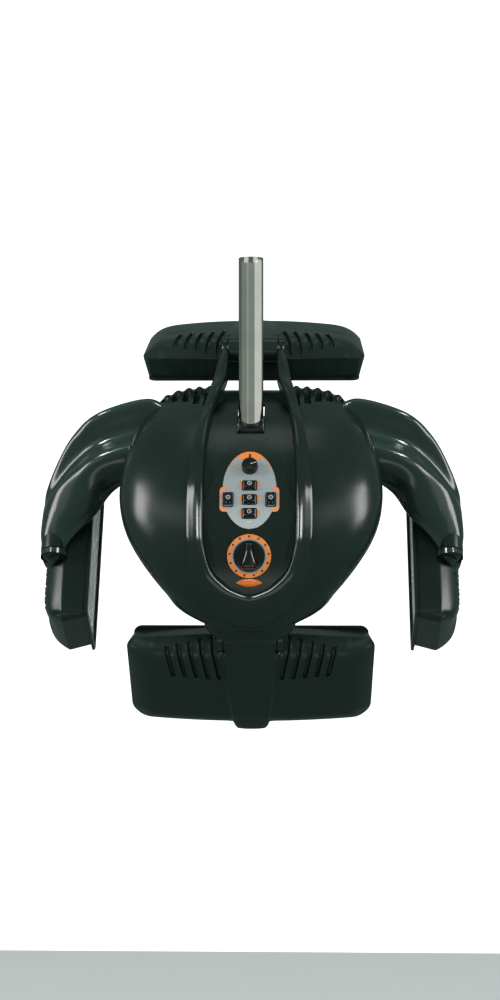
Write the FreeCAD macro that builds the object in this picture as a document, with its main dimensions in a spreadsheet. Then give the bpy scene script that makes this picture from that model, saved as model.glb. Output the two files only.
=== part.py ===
"""Salon hair processor head: a domed control head on a vertical tube, with a centre heater and
four hinged heater panels round the client's head.  Millimetres, +Z up along the support tube,
origin at the centre of the tube's open top end.

Two working frames are used besides the row frame:
  head frame   origin at the centre of the client's head, x to the right, y to the rear (towards the
               upper panel), z along the dome's axis; head_place carries it into the row frame.
  panel frame  x along the panel, y up towards its hinge, z outwards through its domed back.
"""
import FreeCAD, Part
import math
import os

from FreeCAD import Placement, Rotation, Vector

doc = FreeCAD.newDocument("hair_processor")

# ---------------------------------------------------------------- driving dimensions
DIMENSIONS = {
    "tube_r": 17.5, "tube_bore_r": 15.5, "tube_seat_r": 15.8, "seat_length": 30,
    "pivot_drop": 241, "drum_r": 19.5, "drum_width": 34, "running_gap": 0.05,
    "head_tilt": 60, "head_back": 148, "head_drop": 420,
    "dome_r": 247, "base_r": 174, "wall": 3, "console_r": 244,
    "panel_h": 145, "lower_w": 346, "upper_w": 330, "side_w": 270, "panel_depth": 32, "taper": 8, "dome_rise": 22,
    "hinge_up": 74, "hinge_out": 14.5, "barrel_r": 19, "barrel_half": 36, "cheek_out": 46,
    "hinge_pin_r": 4, "side_reach": 265, "side_level": 37, "side_forward": 20,
    "lower_reach": 216.8, "lower_level": 39.8, "lower_lean": 32,
    "upper_reach": 302, "upper_level": 105, "upper_lean": 50,
    "tilt_pin_r": 6, "washer_t": 1, "ear_t": 4,
    "rocker_length": 21, "rocker_width": 15, "timer_angle": 61.3, "timer_dial_r": 29.6,
    "timer_knob_r": 21, "timer_knob_h": 17, "regulator_angle": 90.8, "regulator_r": 11.5,
    "regulator_h": 13, "pilot_angle": 52.8, "pilot_length": 36, "pilot_width": 11.6,
    "heater_r": 5, "heater_cap_r": 7.5, "heater_spread": 52, "sheet_t": 0.8,
    "centre_w": 250, "centre_h": 104, "centre_top": 190,
}
sheet = doc.addObject("Spreadsheet::Sheet", "dimensions")
for row, (alias, value) in enumerate(DIMENSIONS.items(), 1):
    sheet.set(f"A{row}", alias)
    sheet.set(f"B{row}", str(value))
    sheet.setAlias(f"B{row}", alias)
doc.recompute()


def dim(alias):
    """The value of a driving dimension, read back from the sheet."""
    return float(sheet.get(alias))


HEAD = Placement(Vector(0, dim("head_back"), -dim("head_drop")), Rotation(Vector(1, 0, 0), dim("head_tilt")))
PIVOT = Vector(0, 0, -dim("pivot_drop"))
PIVOT_IN_HEAD = HEAD.inverse().multVec(PIVOT)

subparts = {}


# ---------------------------------------------------------------- document helpers
def keep(name, obj, place=None):
    """Registers a finished document object as the sub-part that is written to parts/name.step."""
    obj.Label = name
    if place is not None:
        obj.Placement = place
    subparts[name] = obj
    return obj


def bind(obj, **expressions):
    for prop, expression in expressions.items():
        obj.setExpression(prop, expression)
    return obj


def cylinder(name, radius, height, place=None):
    """Part::Cylinder whose radius and height are sheet expressions."""
    obj = doc.addObject("Part::Cylinder", name)
    bind(obj, Radius=radius, Height=height)
    if place is not None:
        obj.Placement = place
    return obj


def box(name, length, width, height, place=None):
    """Part::Box with its sizes as sheet expressions."""
    obj = doc.addObject("Part::Box", name)
    bind(obj, Length=length, Width=width, Height=height)
    if place is not None:
        obj.Placement = place
    return obj


def fuse(name, *shapes):
    obj = doc.addObject("Part::MultiFuse", name)
    obj.Shapes = list(shapes)
    return obj


def cut(name, base, tool):
    obj = doc.addObject("Part::Cut", name)
    obj.Base, obj.Tool = base, tool
    return obj


def feature(name, shape, place=None):
    """A sub-part whose surface neither a sketch nor a primitive can give."""
    obj = doc.addObject("Part::Feature", name)
    obj.Shape = shape
    return keep(name, obj, place)


def body(name, sketch_plane, draw, make):
    """PartDesign body: a sketch on an origin plane, and the feature that make() adds to it."""
    obj = doc.addObject("PartDesign::Body", name)
    plane = next(f for f in obj.Origin.OriginFeatures if f.Role == sketch_plane)
    sketch = obj.newObject("Sketcher::SketchObject", name + "_sketch")
    sketch.AttachmentSupport = (plane, "")
    sketch.MapMode = "FlatFace"
    draw(sketch)
    make(obj, sketch)
    return obj


def revolve(obj, sketch):
    feature_ = obj.newObject("PartDesign::Revolution", obj.Name + "_revolution")
    feature_.Profile = sketch
    feature_.ReferenceAxis = (sketch, ["V_Axis"])
    feature_.Angle = 360


def polyline(sketch, points):
    """A closed outline of straight lines through (x, y) points."""
    ends = points[1:] + points[:1]
    for (x0, y0), (x1, y1) in zip(points, ends):
        sketch.addGeometry(Part.LineSegment(Vector(x0, y0, 0), Vector(x1, y1, 0)), False)


# ---------------------------------------------------------------- shape helpers
def rod(start, end, radius):
    """A round bar from start to end."""
    return Part.makeCylinder(radius, (end - start).Length, start, end - start)


def block(low, high):
    low, high = Vector(*low), Vector(*high)
    size = high - low
    return Part.makeBox(size.x, size.y, size.z, low)


def smooth_edge(points):
    curve = Part.BSplineCurve()
    curve.interpolate([Vector(*p) for p in points])
    return curve.toShape()


def rounded_rectangle(width, height, radius, level):
    """Closed wire of a rectangle with round corners, in the plane z = level."""
    x, y = width / 2 - radius, height / 2 - radius
    edges = []
    corners = [(x, y, 0), (-x, y, 90), (-x, -y, 180), (x, -y, 270)]
    for (cx, cy, turn), (nx, ny, _) in zip(corners, corners[1:] + corners[:1]):
        arc = [Vector(cx + radius * math.cos(math.radians(turn + a)),
                      cy + radius * math.sin(math.radians(turn + a)), level) for a in (0, 45, 90)]
        edges.append(Part.Arc(*arc).toShape())
        after = Vector(nx + radius * math.cos(math.radians(turn + 90)),
                       ny + radius * math.sin(math.radians(turn + 90)), level)
        edges.append(Part.LineSegment(arc[2], after).toShape())
    return Part.Wire(edges)


def polar(angle, radius, x=0.0):
    """Point of the head frame on the dome: angle from the front horizon over the top to the rear."""
    turn = math.radians(angle)
    return Vector(x, -radius * math.cos(turn), radius * math.sin(turn))


def on_dome(angle, radius, x=0.0):
    """Placement with z along the dome's outward normal and x to the right."""
    return Placement(polar(angle, radius, x), Rotation(Vector(1, 0, 0), 90 - angle))


def only_solid(shape):
    """The largest solid of a boolean result, so that no sliver is written."""
    return max(shape.Solids, key=lambda solid: solid.Volume)


# ---------------------------------------------------------------- support: tube and knuckle
def make_support():
    tilt_axis = Rotation(Vector(0, 1, 0), 90)
    outer = cylinder("tube_outer", "dimensions.tube_r", "dimensions.pivot_drop", Placement(PIVOT, Rotation()))
    bore = cylinder("tube_bore", "dimensions.tube_bore_r", "dimensions.pivot_drop", Placement(PIVOT, Rotation()))
    seat = cylinder("tube_seat", "dimensions.tube_seat_r", "dimensions.drum_r + dimensions.seat_length",
                    Placement(PIVOT, Rotation()))
    cope = cylinder("tube_cope", "dimensions.drum_r + 0.1", "60", Placement(PIVOT - Vector(30, 0, 0), tilt_axis))
    keep("support_tube", cut("support_tube", outer, fuse("tube_hollows", bore, seat, cope)))

    half = dim("drum_width") / 2
    drum = cylinder("knuckle_drum", "dimensions.drum_r", "dimensions.drum_width",
                    Placement(PIVOT - Vector(half, 0, 0), tilt_axis))
    plug = cylinder("knuckle_plug", "dimensions.tube_seat_r", "dimensions.drum_r + dimensions.seat_length - 2",
                    Placement(PIVOT, Rotation()))
    eye = cylinder("knuckle_eye", "dimensions.tilt_pin_r + dimensions.running_gap", "60",
                   Placement(PIVOT - Vector(30, 0, 0), tilt_axis))
    keep("tilt_knuckle", cut("tilt_knuckle", fuse("knuckle_blank", drum, plug), eye))


# ---------------------------------------------------------------- dome shell and base
# Half-width of the shell and squareness of its arch at angles from the neck over the top to the
# rear edge, which also drops.
STATIONS = [(36, 72, 2.5), (39.5, 98, 2.5), (46, 119, 2.5), (53.7, 140, 2.5), (69.7, 171, 2.5), (85, 183, 2.5),
            (103, 181, 2.6), (120, 169, 3.1), (138, 146, 4.4), (150, 130, 4.6)]
REAR = [(155, 122, 7, 4.6), (158, 114, 19, 4.6)]


def dome_section(angle, half_width, square, top, bottom):
    """Arch across the dome in the plane through the x axis at this angle, closed along its rim."""
    points = []
    for step in range(-6, 7):
        lean = math.radians(15 * step)
        across = abs(math.sin(lean)) ** (2 / square) * math.copysign(1, math.sin(lean)) if step else 0.0
        rise = abs(math.cos(lean)) ** (2 / square) if abs(step) < 6 else 0.0
        points.append(polar(angle, bottom + (top - bottom) * rise, half_width * across))
    arch = smooth_edge(points)
    return Part.Wire([arch, Part.LineSegment(points[-1], points[0]).toShape()])


def dome_solid(inset, bottom, first=None, last_inset=0.0):
    """The dome as one solid, set in by inset from the outer surface, down to the radius bottom."""
    sections = []
    for angle, half_width, square in STATIONS:
        start = angle if angle != STATIONS[0][0] or first is None else first
        sections.append(dome_section(start, half_width - inset, square, dim("dome_r") - inset, bottom))
    for angle, half_width, drop, square in REAR:
        sections.append(dome_section(angle - last_inset, half_width - inset, square,
                                     dim("dome_r") - drop - inset, bottom))
    return Part.makeLoft(sections, True, False)


def egg(half_width, low, high, widest, depth_low, depth_high):
    """Egg-shaped prism seen along the dome's axis of view: its outline is given by the heights of its
    ends and of its widest place, measured along the console, and it runs between two depths."""
    reach = [(0, high), (half_width * 0.62, high - (high - widest) * 0.22), (half_width, widest),
             (half_width * 0.66, low + (widest - low) * 0.24), (0, low),
             (-half_width * 0.66, low + (widest - low) * 0.24), (-half_width, widest),
             (-half_width * 0.62, high - (high - widest) * 0.22)]
    curve = Part.BSplineCurve()
    curve.interpolate([Vector(x, v, depth_low) for x, v in reach], PeriodicFlag=True)
    face = Part.Face(Part.Wire(curve.toShape()))
    prism = face.extrude(Vector(0, 0, depth_high - depth_low))
    prism.Placement = Placement(Vector(), Rotation(Vector(1, 0, 0), 90 - dim("head_tilt")))
    return prism


def dome_layer(outer, inner):
    """Cylinder shell round the head's x axis between two radii, as wide as the dome."""
    start, axis, width = Vector(-200, 0, 0), Vector(1, 0, 0), 400
    return Part.makeCylinder(outer, width, start, axis).cut(Part.makeCylinder(inner, width, start, axis))


CONSOLE_EGG = dict(half_width=62, low=-48, high=166, widest=22)


# Left arm: cross-sections from inside the dome to the hinge.  Each is (x, z, lean) of its plane, then
# (y, height) round the arm: rear ridge, scoop, front ridge, front flank, front edge, underside, rear edge.
ARM = [
    (-118, 175, 0, [(140, 8), (110, 8), (80, 26), (66, 18), (60, 6), (66, -4), (136, -30), (150, -20)]),
    (-150, 165, 4, [(146, 30), (112, 14), (78, 25), (56, 14), (44, 4), (60, -6), (150, -22), (166, -8)]),
    (-204, 150, 17, [(126, 44), (92, 26), (59, 33), (38, 16), (29, -8), (40, -20), (136, -20), (150, 4)]),
    (-231, 138, 40, [(106, 38), (73, 26), (41, 32), (12, 18), (-4, 0), (4, -16), (114, -16), (128, 2)]),
    (-254, 128, 60, [(72, 30), (46, 24), (20, 32), (-14, 22), (-32, 4), (-26, -6), (88, -6), (98, 2)]),
    (-271.5, 117, 80, [(38, 24), (19, 25), (0, 27), (-34, 26), (-58, 14), (-60, -4), (36, -4), (38, 12)]),
]


def arm_plane(x, z, lean, y, height):
    """Point at (y, height) in the plane of one arm section."""
    turn = math.radians(lean)
    return Vector(x - height * math.sin(turn), y, z + height * math.cos(turn))


def arm_solid(offset, first_shift=0.0, stations=6):
    """The arm as one solid, grown by offset; first_shift moves its inner end towards the dome."""
    wires = []
    for i, (x, z, lean, outline) in enumerate(ARM[:stations]):
        middle_y = sum(y for y, _ in outline) / len(outline)
        middle_h = sum(h for _, h in outline) / len(outline)
        ring = []
        for y, height in outline:
            reach = math.hypot(y - middle_y, height - middle_h)
            y += (y - middle_y) * offset / reach
            height += (height - middle_h) * offset / reach
            ring.append(arm_plane(x + (first_shift if not i else 0.0), z, lean, y, height))
        wires.append(Part.makePolygon(ring + ring[:1]))
    return Part.makeLoft(wires, True, False)


def arm_lower_half():
    """Everything below the seam between the arm's cover and its tray."""
    wires = []
    for x, z, lean, _ in ARM:
        corners = [arm_plane(x, z, lean, y, height) for y, height in ((-60, -50), (190, -50), (190, -3),
                                                                     (-60, -3))]
        wires.append(Part.makePolygon(corners + corners[:1]))
    return Part.makeLoft(wires, True, True)


def console_egg(grow, depth_low, depth_high):
    """Prism over the console's egg-shaped outline, grown all round by grow."""
    return egg(CONSOLE_EGG["half_width"] + grow, CONSOLE_EGG["low"] - grow, CONSOLE_EGG["high"] + grow,
               CONSOLE_EGG["widest"], depth_low, depth_high)


def mirror_x(shape):
    return shape.mirror(Vector(), Vector(1, 0, 0))


def console_controls():
    """(name, x, angle, turned) of each rocker switch on the console."""
    return [("top", 0, 84.3, False), ("centre", 0, 79.5, False), ("bottom", 0, 74.9, False),
            ("left", -29, 79.5, True), ("right", 29, 79.5, True)]


def rocker_place(x, angle, turned):
    place = on_dome(angle, dim("console_r"), x)
    return place.multiply(Placement(Vector(), Rotation(Vector(0, 0, 1), 90))) if turned else place


def placed(shape, place):
    copy = shape.copy()
    copy.Placement = place.multiply(copy.Placement)
    return copy


def console_holes(clear):
    """Everything that passes through the console, grown by clear, as one list of solids."""
    holes = []
    for _, x, angle, turned in console_controls():
        opening = Part.makeBox(19 + 2 * clear, 13 + 2 * clear, 40, Vector(-9.5 - clear, -6.5 - clear, -30))
        holes.append(placed(opening, rocker_place(x, angle, turned)))
    for angle, radius in ((dim("timer_angle"), 5), (dim("regulator_angle"), 4)):
        shaft_hole = Part.makeCylinder(radius + clear, 40, Vector(0, 0, -30))
        holes.append(placed(shaft_hole, on_dome(angle, dim("console_r"))))
    return holes


def timer_seat():
    """Flat round recess for the timer dial."""
    return placed(Part.makeCylinder(dim("timer_dial_r") + 0.3, 20, Vector(0, 0, -1.2)),
                  on_dome(dim("timer_angle"), dim("console_r")))


def lens(length, width, height):
    """Vesica: two equal arcs meeting in points, extruded."""
    a, b = length / 2, width / 2
    upper = Part.Arc(Vector(-a, 0, 0), Vector(0, b, 0), Vector(a, 0, 0)).toShape()
    lower = Part.Arc(Vector(a, 0, 0), Vector(0, -b, 0), Vector(-a, 0, 0)).toShape()
    return Part.Face(Part.Wire([upper, lower])).extrude(Vector(0, 0, height))


def pilot_seat():
    seat = lens(dim("pilot_length") + 0.8, dim("pilot_width") + 0.8, 20)
    seat.translate(Vector(0, 0, -1.4))
    return placed(seat, on_dome(dim("pilot_angle"), dim("console_r")))


def tilt_slot():
    """Opening for the tube's drum and for the tube's swing."""
    half = dim("drum_width") / 2 + 1.2
    p = PIVOT_IN_HEAD
    around = rod(Vector(-half, p.y, p.z), Vector(half, p.y, p.z), dim("drum_r") + 0.8)
    swing = block((-half - 0.3, p.y - 21, p.z - 12), (half + 0.3, p.y + 53, p.z + 60))
    return [around, swing]


def neck_tongue(half_width, low, high):
    """Plate that runs from the neck into the dome, above the base."""
    corners = [polar(34.6, low, -half_width), polar(34.6, high, -half_width), polar(52, high, -half_width),
               polar(52, low, -half_width)]
    return Part.Face(Part.makePolygon(corners + corners[:1])).extrude(Vector(2 * half_width, 0, 0))


def make_dome():
    outer = dome_solid(0, dim("base_r"))
    inner = dome_solid(dim("wall"), dim("base_r") - 6, first=37.2, last_inset=2.5)
    shell = outer.cut(inner)
    recess = console_egg(0, 100, 320).common(dome_layer(300, dim("console_r") - 2.5))
    shell = shell.cut(recess)
    cutters = [arm_solid(1.2, 4), mirror_x(arm_solid(1.2, 4))]
    shell = shell.cut(cutters + console_holes(0.6) + tilt_slot() + [neck_tongue(38.3, 186.7, 193.3)])
    louvres = []
    for side in (-1, 1):
        for i in range(5):
            x = side * (52 + 16 * i)
            slot = Part.makeBox(5, 30, 30, Vector(-2.5, -15, -10))
            louvres.append(placed(slot, on_dome(141, dim("dome_r"), x)))
    shell = only_solid(shell.cut(louvres))
    feature("body_shell", shell, HEAD)

    sections = []
    for angle, half_width, _ in [(37.4, 76, 0)] + STATIONS[1:] + [(154, 118, 0)]:
        low, high = dim("base_r") - 4, dim("base_r") - 0.3
        corners = [polar(angle, low, -half_width), polar(angle, low, half_width),
                   polar(angle, high, half_width), polar(angle, high, -half_width)]
        sections.append(Part.makePolygon(corners + corners[:1]))
    base = Part.makeLoft(sections, True, False)
    w, h = dim("centre_w") / 2, dim("centre_h") / 2
    base = base.cut([block((-w, -h, 100), (w, h, 200))] + cutters + neck_screws(2.5))
    feature("body_base", only_solid(base), HEAD)


def make_console():
    plate = console_egg(-0.5, 100, 320).common(dome_layer(dim("console_r"), dim("console_r") - 2.4))
    plate = plate.cut(console_holes(0.4) + tilt_slot() + [timer_seat(), pilot_seat()])
    feature("console_plate", only_solid(plate), HEAD)

    oval = egg(37, 42, 147, 90, 100, 320)
    wings = Part.makeBox(84, 34, 220, Vector(-42, 0, 100))
    wings.Placement = Placement(Vector(), Rotation(Vector(1, 0, 0), 90 - dim("head_tilt")))
    wings.Placement.Base = wings.Placement.Rotation.multVec(Vector(0, 65, 0))
    label = oval.fuse(wings).common(dome_layer(dim("console_r") + 1.1, dim("console_r") + 0.1))
    feature("control_label", only_solid(label.cut(console_holes(0.4))), HEAD)

    dial_place = HEAD.multiply(on_dome(dim("timer_angle"), dim("console_r") - 1.1))
    ring = cut("timer_dial", cylinder("dial_disc", "dimensions.timer_dial_r", "2.6"),
               cylinder("dial_hole", "5.6", "2.6"))
    keep("timer_dial", ring, dial_place)

    feature("pilot_lens", lens(dim("pilot_length"), dim("pilot_width"), 3.2),
            HEAD.multiply(on_dome(dim("pilot_angle"), dim("console_r") - 1.1)))


def make_knobs():
    def timer_profile(sketch):
        r, h = dim("timer_knob_r"), dim("timer_knob_h")
        polyline(sketch, [(0, 0), (r, 0), (r - 0.6, 3.6), (r - 3.5, 4.6), (r - 4.6, h - 1.5), (r - 6.5, h),
                          (0, h)])

    def regulator_profile(sketch):
        r, h = dim("regulator_r"), dim("regulator_h")
        polyline(sketch, [(0, 0), (r, 0), (r - 1, h - 1.2), (r - 2.2, h), (0, h)])

    for name, profile, angle, lift, stem in (
            ("timer_knob", timer_profile, "timer_angle", 1.6, 4.8),
            ("regulator_knob", regulator_profile, "regulator_angle", 1.6, 3.8)):
        knob = body(name + "_body", "XZ_Plane", profile, revolve)
        shaft = cylinder(name + "_shaft", str(stem), "14", Placement(Vector(0, 0, -14), Rotation()))
        blank = fuse(name, knob, shaft)
        keep(name, blank, HEAD.multiply(on_dome(dim(angle), dim("console_r") + lift)))


def make_units():
    """Mechanical timer and energy regulator under the console, each with a bore for its shaft."""
    clock = box("clock_case", "50", "50", "30", Placement(Vector(-25, -25, -34), Rotation()))
    clock_bore = cylinder("clock_bore", "4.85", "16", Placement(Vector(0, 0, -18), Rotation()))
    keep("timer_unit", cut("timer_unit", clock, clock_bore),
         HEAD.multiply(on_dome(dim("timer_angle"), dim("console_r") - 3.0)))
    can = cylinder("regulator_can", "13", "22", Placement(Vector(0, 0, -27), Rotation()))
    can_bore = cylinder("regulator_bore", "3.85", "12", Placement(Vector(0, 0, -17), Rotation()))
    keep("regulator_unit", cut("regulator_unit", can, can_bore),
         HEAD.multiply(on_dome(dim("regulator_angle"), dim("console_r") - 1.0)))


def make_switches():
    length, width = dim("rocker_length"), dim("rocker_width")
    cavity = Part.makeBox(15.4, 9.6, 16, Vector(-7.7, -4.8, -10))
    housings = []
    for name, x, angle, turned in console_controls():
        place = HEAD.multiply(rocker_place(x, angle, turned))
        flange = Part.makeBox(length - 2, width - 2, 2, Vector(1 - length / 2, 1 - width / 2, 1.3))
        case = Part.makeBox(18.6, 12.6, 17.3, Vector(-9.3, -6.3, -16))
        housing = flange.fuse(case).cut(cavity)
        housings.append(placed(housing, place))
        sector = Part.makeCylinder(8.6, 9, Vector(0, -4.5, -2.5), Vector(0, 1, 0))
        waist = Part.makeBox(13.0, 9, 6.5, Vector(-6.5, -4.5, -1.0))
        feature("rocker_" + name, sector.common(waist), place)
    feature("switch_housings", Part.makeCompound(housings))


# ---------------------------------------------------------------- chassis and tilt hinge
def make_chassis():
    p = PIVOT_IN_HEAD
    inner = dim("drum_width") / 2 + dim("washer_t") + 0.1
    top = dim("centre_top") + 1
    plate = block((-110, 20, top), (110, 120, top + 3)).cut(block((-60, 60, top - 1), (-30, 100, top + 4)))
    plate = plate.cut(block((30, 60, top - 1), (60, 100, top + 4)))
    ears = []
    for side in (-1, 1):
        x0, x1 = sorted((side * inner, side * (inner + dim("ear_t"))))
        leg = block((x0, p.y - 10.5, top + 1), (x1, p.y + 10.5, p.z))
        boss = rod(Vector(x0, p.y, p.z), Vector(x1, p.y, p.z), 10.5)
        ears += [leg, boss]
        leg_x = sorted((side * 104, side * 107))
        ears.append(block((leg_x[0], 100, 120), (leg_x[1], 120, top + 2)))
        tongue_x = sorted((side * 106, side * 150))
        ears.append(block((tongue_x[0], 108, 160), (tongue_x[1], 134, 163)))
    bore = rod(Vector(-40, p.y, p.z), Vector(40, p.y, p.z), dim("tilt_pin_r"))
    chassis = plate.fuse(ears).removeSplitter().cut(bore)
    chassis = chassis.cut(rod(Vector(-inner, p.y, p.z), Vector(inner, p.y, p.z), dim("drum_r") + 0.6))
    chassis = chassis.cut([rod(Vector(-120, 0, 0), Vector(120, 0, 0), dim("base_r") + 0.3)] + arm_screws(2.5))
    feature("chassis", only_solid(chassis), HEAD)

    def pin_profile(sketch):
        r, reach = dim("tilt_pin_r"), inner + dim("ear_t")
        polyline(sketch, [(0, -reach - 5), (r + 4, -reach - 5), (r + 4, -reach), (r, -reach), (r, reach + 9),
                          (0, reach + 9)])

    along_x = Placement(p, Rotation(Vector(0, 1, 0), 90))
    keep("tilt_pin", body("tilt_pin_body", "XZ_Plane", pin_profile, revolve), HEAD.multiply(along_x))
    washers = []
    for side in (-1, 1):
        x0 = side * (dim("drum_width") / 2 + 0.05)
        ring = rod(Vector(x0, p.y, p.z), Vector(x0 + side * dim("washer_t"), p.y, p.z), 11)
        washers.append(ring.cut(rod(Vector(-40, p.y, p.z), Vector(40, p.y, p.z), dim("tilt_pin_r") + 0.1)))
    feature("tilt_washers", Part.makeCompound(washers), HEAD)

    hexagon = [Vector(10.4 * math.cos(math.radians(60 * i)), 10.4 * math.sin(math.radians(60 * i)), 0)
               for i in range(7)]
    nut = Part.Face(Part.makePolygon(hexagon)).extrude(Vector(0, 0, 7))
    nut = nut.cut(Part.makeCylinder(dim("tilt_pin_r"), 7))
    feature("tilt_nut", nut, HEAD.multiply(Placement(p + Vector(inner + dim("ear_t") + 0.05, 0, 0),
                                                     Rotation(Vector(0, 1, 0), 90))))


# ---------------------------------------------------------------- heater pieces shared by all panels
def grille_plate(width, height, level):
    """Punched guard: a thin plate with a grid of openings."""
    plate = Part.makeBox(width, height, 1.2, Vector(-width / 2, -height / 2, level))
    columns, rows = int(width // 20), int(height // 16)
    pitch_x, pitch_y = width / columns, height / rows
    holes = [Part.makeBox(pitch_x - 3, pitch_y - 3, 4,
                          Vector(-width / 2 + pitch_x * i + 1.5, -height / 2 + pitch_y * j + 1.5, level - 1))
             for i in range(columns) for j in range(rows)]
    return plate.cut(holes)


def frame_plate(name, width, height, rim, thickness, level):
    """Rectangular frame between level and level + thickness, its sizes bound to the sheet."""
    outer = box(name + "_outer", width, height, thickness)
    bind(outer, **{"Placement.Base.x": f"-({width}) / 2", "Placement.Base.y": f"-({height}) / 2",
                   "Placement.Base.z": level})
    inner = box(name + "_inner", f"{width} - 2 * {rim}", f"{height} - 2 * {rim}", f"{thickness} + 2")
    bind(inner, **{"Placement.Base.x": f"-({width}) / 2 + {rim}",
                   "Placement.Base.y": f"-({height}) / 2 + {rim}", "Placement.Base.z": f"{level} - 1"})
    return cut(name, outer, inner)


def trough(length, half_open, half_flat, low, high):
    """Bent reflector sheet: a flat back with two splayed sides, closed at both ends by plates."""
    t = dim("sheet_t")
    outline = [(-half_open, low), (-half_flat, high), (half_flat, high), (half_open, low),
               (half_open - t, low), (half_flat - t / 2, high - t), (-half_flat + t / 2, high - t),
               (-half_open + t, low)]
    points = [Vector(-length / 2, y, z) for y, z in outline]
    sheet_metal = Part.Face(Part.makePolygon(points + points[:1])).extrude(Vector(length, 0, 0))
    end = Part.Face(Part.makePolygon([points[0], points[1], points[2], points[3], points[0]]))
    ends = [end.extrude(Vector(t, 0, 0))]
    far = end.extrude(Vector(-t, 0, 0))
    far.translate(Vector(length, 0, 0))
    return sheet_metal.fuse(ends + [far])


def lamp_group(length, level, spread):
    """Quartz heater tubes between ceramic end caps, as separate solids."""
    solids = []
    for side in (-1, 1):
        y, cap = side * spread / 2, 14
        left, right = Vector(-length / 2, y, level), Vector(length / 2, y, level)
        step = Vector(cap, 0, 0)
        solids.append(rod(left + step, right - step, dim("heater_r")))
        solids += [rod(left, left + step, dim("heater_cap_r")), rod(right - step, right, dim("heater_cap_r"))]
    return Part.makeCompound(solids)


def make_centre_heater():
    w, h, top = dim("centre_w"), dim("centre_h"), dim("centre_top")
    level = 162
    place = HEAD.multiply(Placement(Vector(0, 0, level), Rotation()))
    keep("centre_bezel", frame_plate("centre_bezel", "dimensions.centre_w - 1", "dimensions.centre_h - 1",
                                     "8", "5", "-2"), place)
    feature("centre_grille", grille_plate(w - 20, h - 20, level + 3.2), HEAD)
    reflector = trough(w - 16, h / 2 - 8, h / 2 - 22, level + 5, top)
    feature("centre_reflector", reflector, HEAD)
    feature("centre_heaters", lamp_group(w - 19, level + 15, 46), HEAD)


# ---------------------------------------------------------------- panels
def panel_solid(width, inset, low, crown):
    """The panel's outer form: tapered walls from the rim to the widest outline, then the domed back."""
    w, h, taper = width, dim("panel_h"), dim("taper")
    walls = Part.makeLoft([
        rounded_rectangle(w - 2 * taper - 2 * inset, h - 2 * taper - 2 * inset, 14 - inset, low),
        rounded_rectangle(w - 2 * inset, h - 2 * inset, 20 - inset, 0)], True, True)
    back = Part.makeLoft([
        rounded_rectangle(w - 2 * inset, h - 2 * inset, 20 - inset, 0),
        rounded_rectangle(w - 10 - 2 * inset, h - 9 - 2 * inset, 22 - inset, crown * 0.42),
        rounded_rectangle(w - 44 - 2 * inset, h - 34 - 2 * inset, 26 - inset, crown * 0.8),
        rounded_rectangle(w - 120 - 2 * inset, h - 84 - 2 * inset, 24 - inset, crown)], True, False)
    return walls.fuse(back)


def spine_section(half_width, crest, level, y):
    """Arched cross-section of the raised spine, in a plane of constant y."""
    points = [(-half_width, y, level), (-half_width * 0.92, y, level + (crest - level) * 0.72),
              (-half_width * 0.5, y, crest - 1), (0, y, crest), (half_width * 0.5, y, crest - 1),
              (half_width * 0.92, y, level + (crest - level) * 0.72), (half_width, y, level)]
    arch = smooth_edge(points)
    return Part.Wire([arch, Part.LineSegment(Vector(*points[-1]), Vector(*points[0])).toShape()])


def panel_shell(width):
    h, depth, wall = dim("panel_h"), dim("panel_depth"), dim("wall")
    up, out, barrel = dim("hinge_up"), dim("hinge_out"), dim("barrel_r")
    outer = panel_solid(width, 0, -depth, dim("dome_rise"))
    spine = Part.makeLoft([spine_section(*s) for s in (
        (36, 32.5, -6, up), (40, 34, -6, up - 30), (34, 33, -6, 0), (29, 29, -6, -46),
        (26, 15, -6, -h / 2 - 4))], True, False)
    roll = rod(Vector(-dim("barrel_half"), up, out), Vector(dim("barrel_half"), up, out), barrel)
    inner = panel_solid(width, wall, -depth - 1, dim("dome_rise") - wall)
    shell = outer.fuse([spine]).cut(inner).fuse(roll)
    cheeks = [rod(Vector(side * 36.2, up, out), Vector(side * 70, up, out), barrel + 0.9) for side in (-1, 1)]
    keep_back = block((-46.8, up - 60, -9.6), (46.8, up + 60, 60))
    shell = shell.cut([cheek.common(keep_back) for cheek in cheeks])
    shell = shell.cut(rod(Vector(-60, up, out), Vector(60, up, out), dim("hinge_pin_r") + dim("running_gap")))
    slots = []
    for side in (-1, 1):
        for i in range(5):
            slot = Part.makeBox(4, 42, 40, Vector(-2, -21, 3))
            slot.rotate(Vector(), Vector(0, 0, 1), side * 14)
            slot.translate(Vector(side * (54 + 13 * i), 20 - 3 * i, 0))
            slots.append(slot)
    return only_solid(shell.cut(slots))


def panel_place(azimuth, reach, level, lean, forward=0.0):
    turn = Rotation(Vector(0, 0, 1), azimuth)
    centre = turn.multVec(Vector(0, -reach, level)) - Vector(0, forward, 0)
    return Placement(centre, turn.multiply(Rotation(Vector(1, 0, 0), 90 - lean)))


def side_place(azimuth):
    return panel_place(azimuth, dim("side_reach"), dim("side_level"), 0, dim("side_forward"))


PANELS = {
    "lower": ("lower_w", panel_place(0, dim("lower_reach"), dim("lower_level"), dim("lower_lean"))),
    "upper": ("upper_w", panel_place(180, dim("upper_reach"), dim("upper_level"), dim("upper_lean"))),
    "left": ("side_w", side_place(-90)),
    "right": ("side_w", side_place(90)),
}


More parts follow.
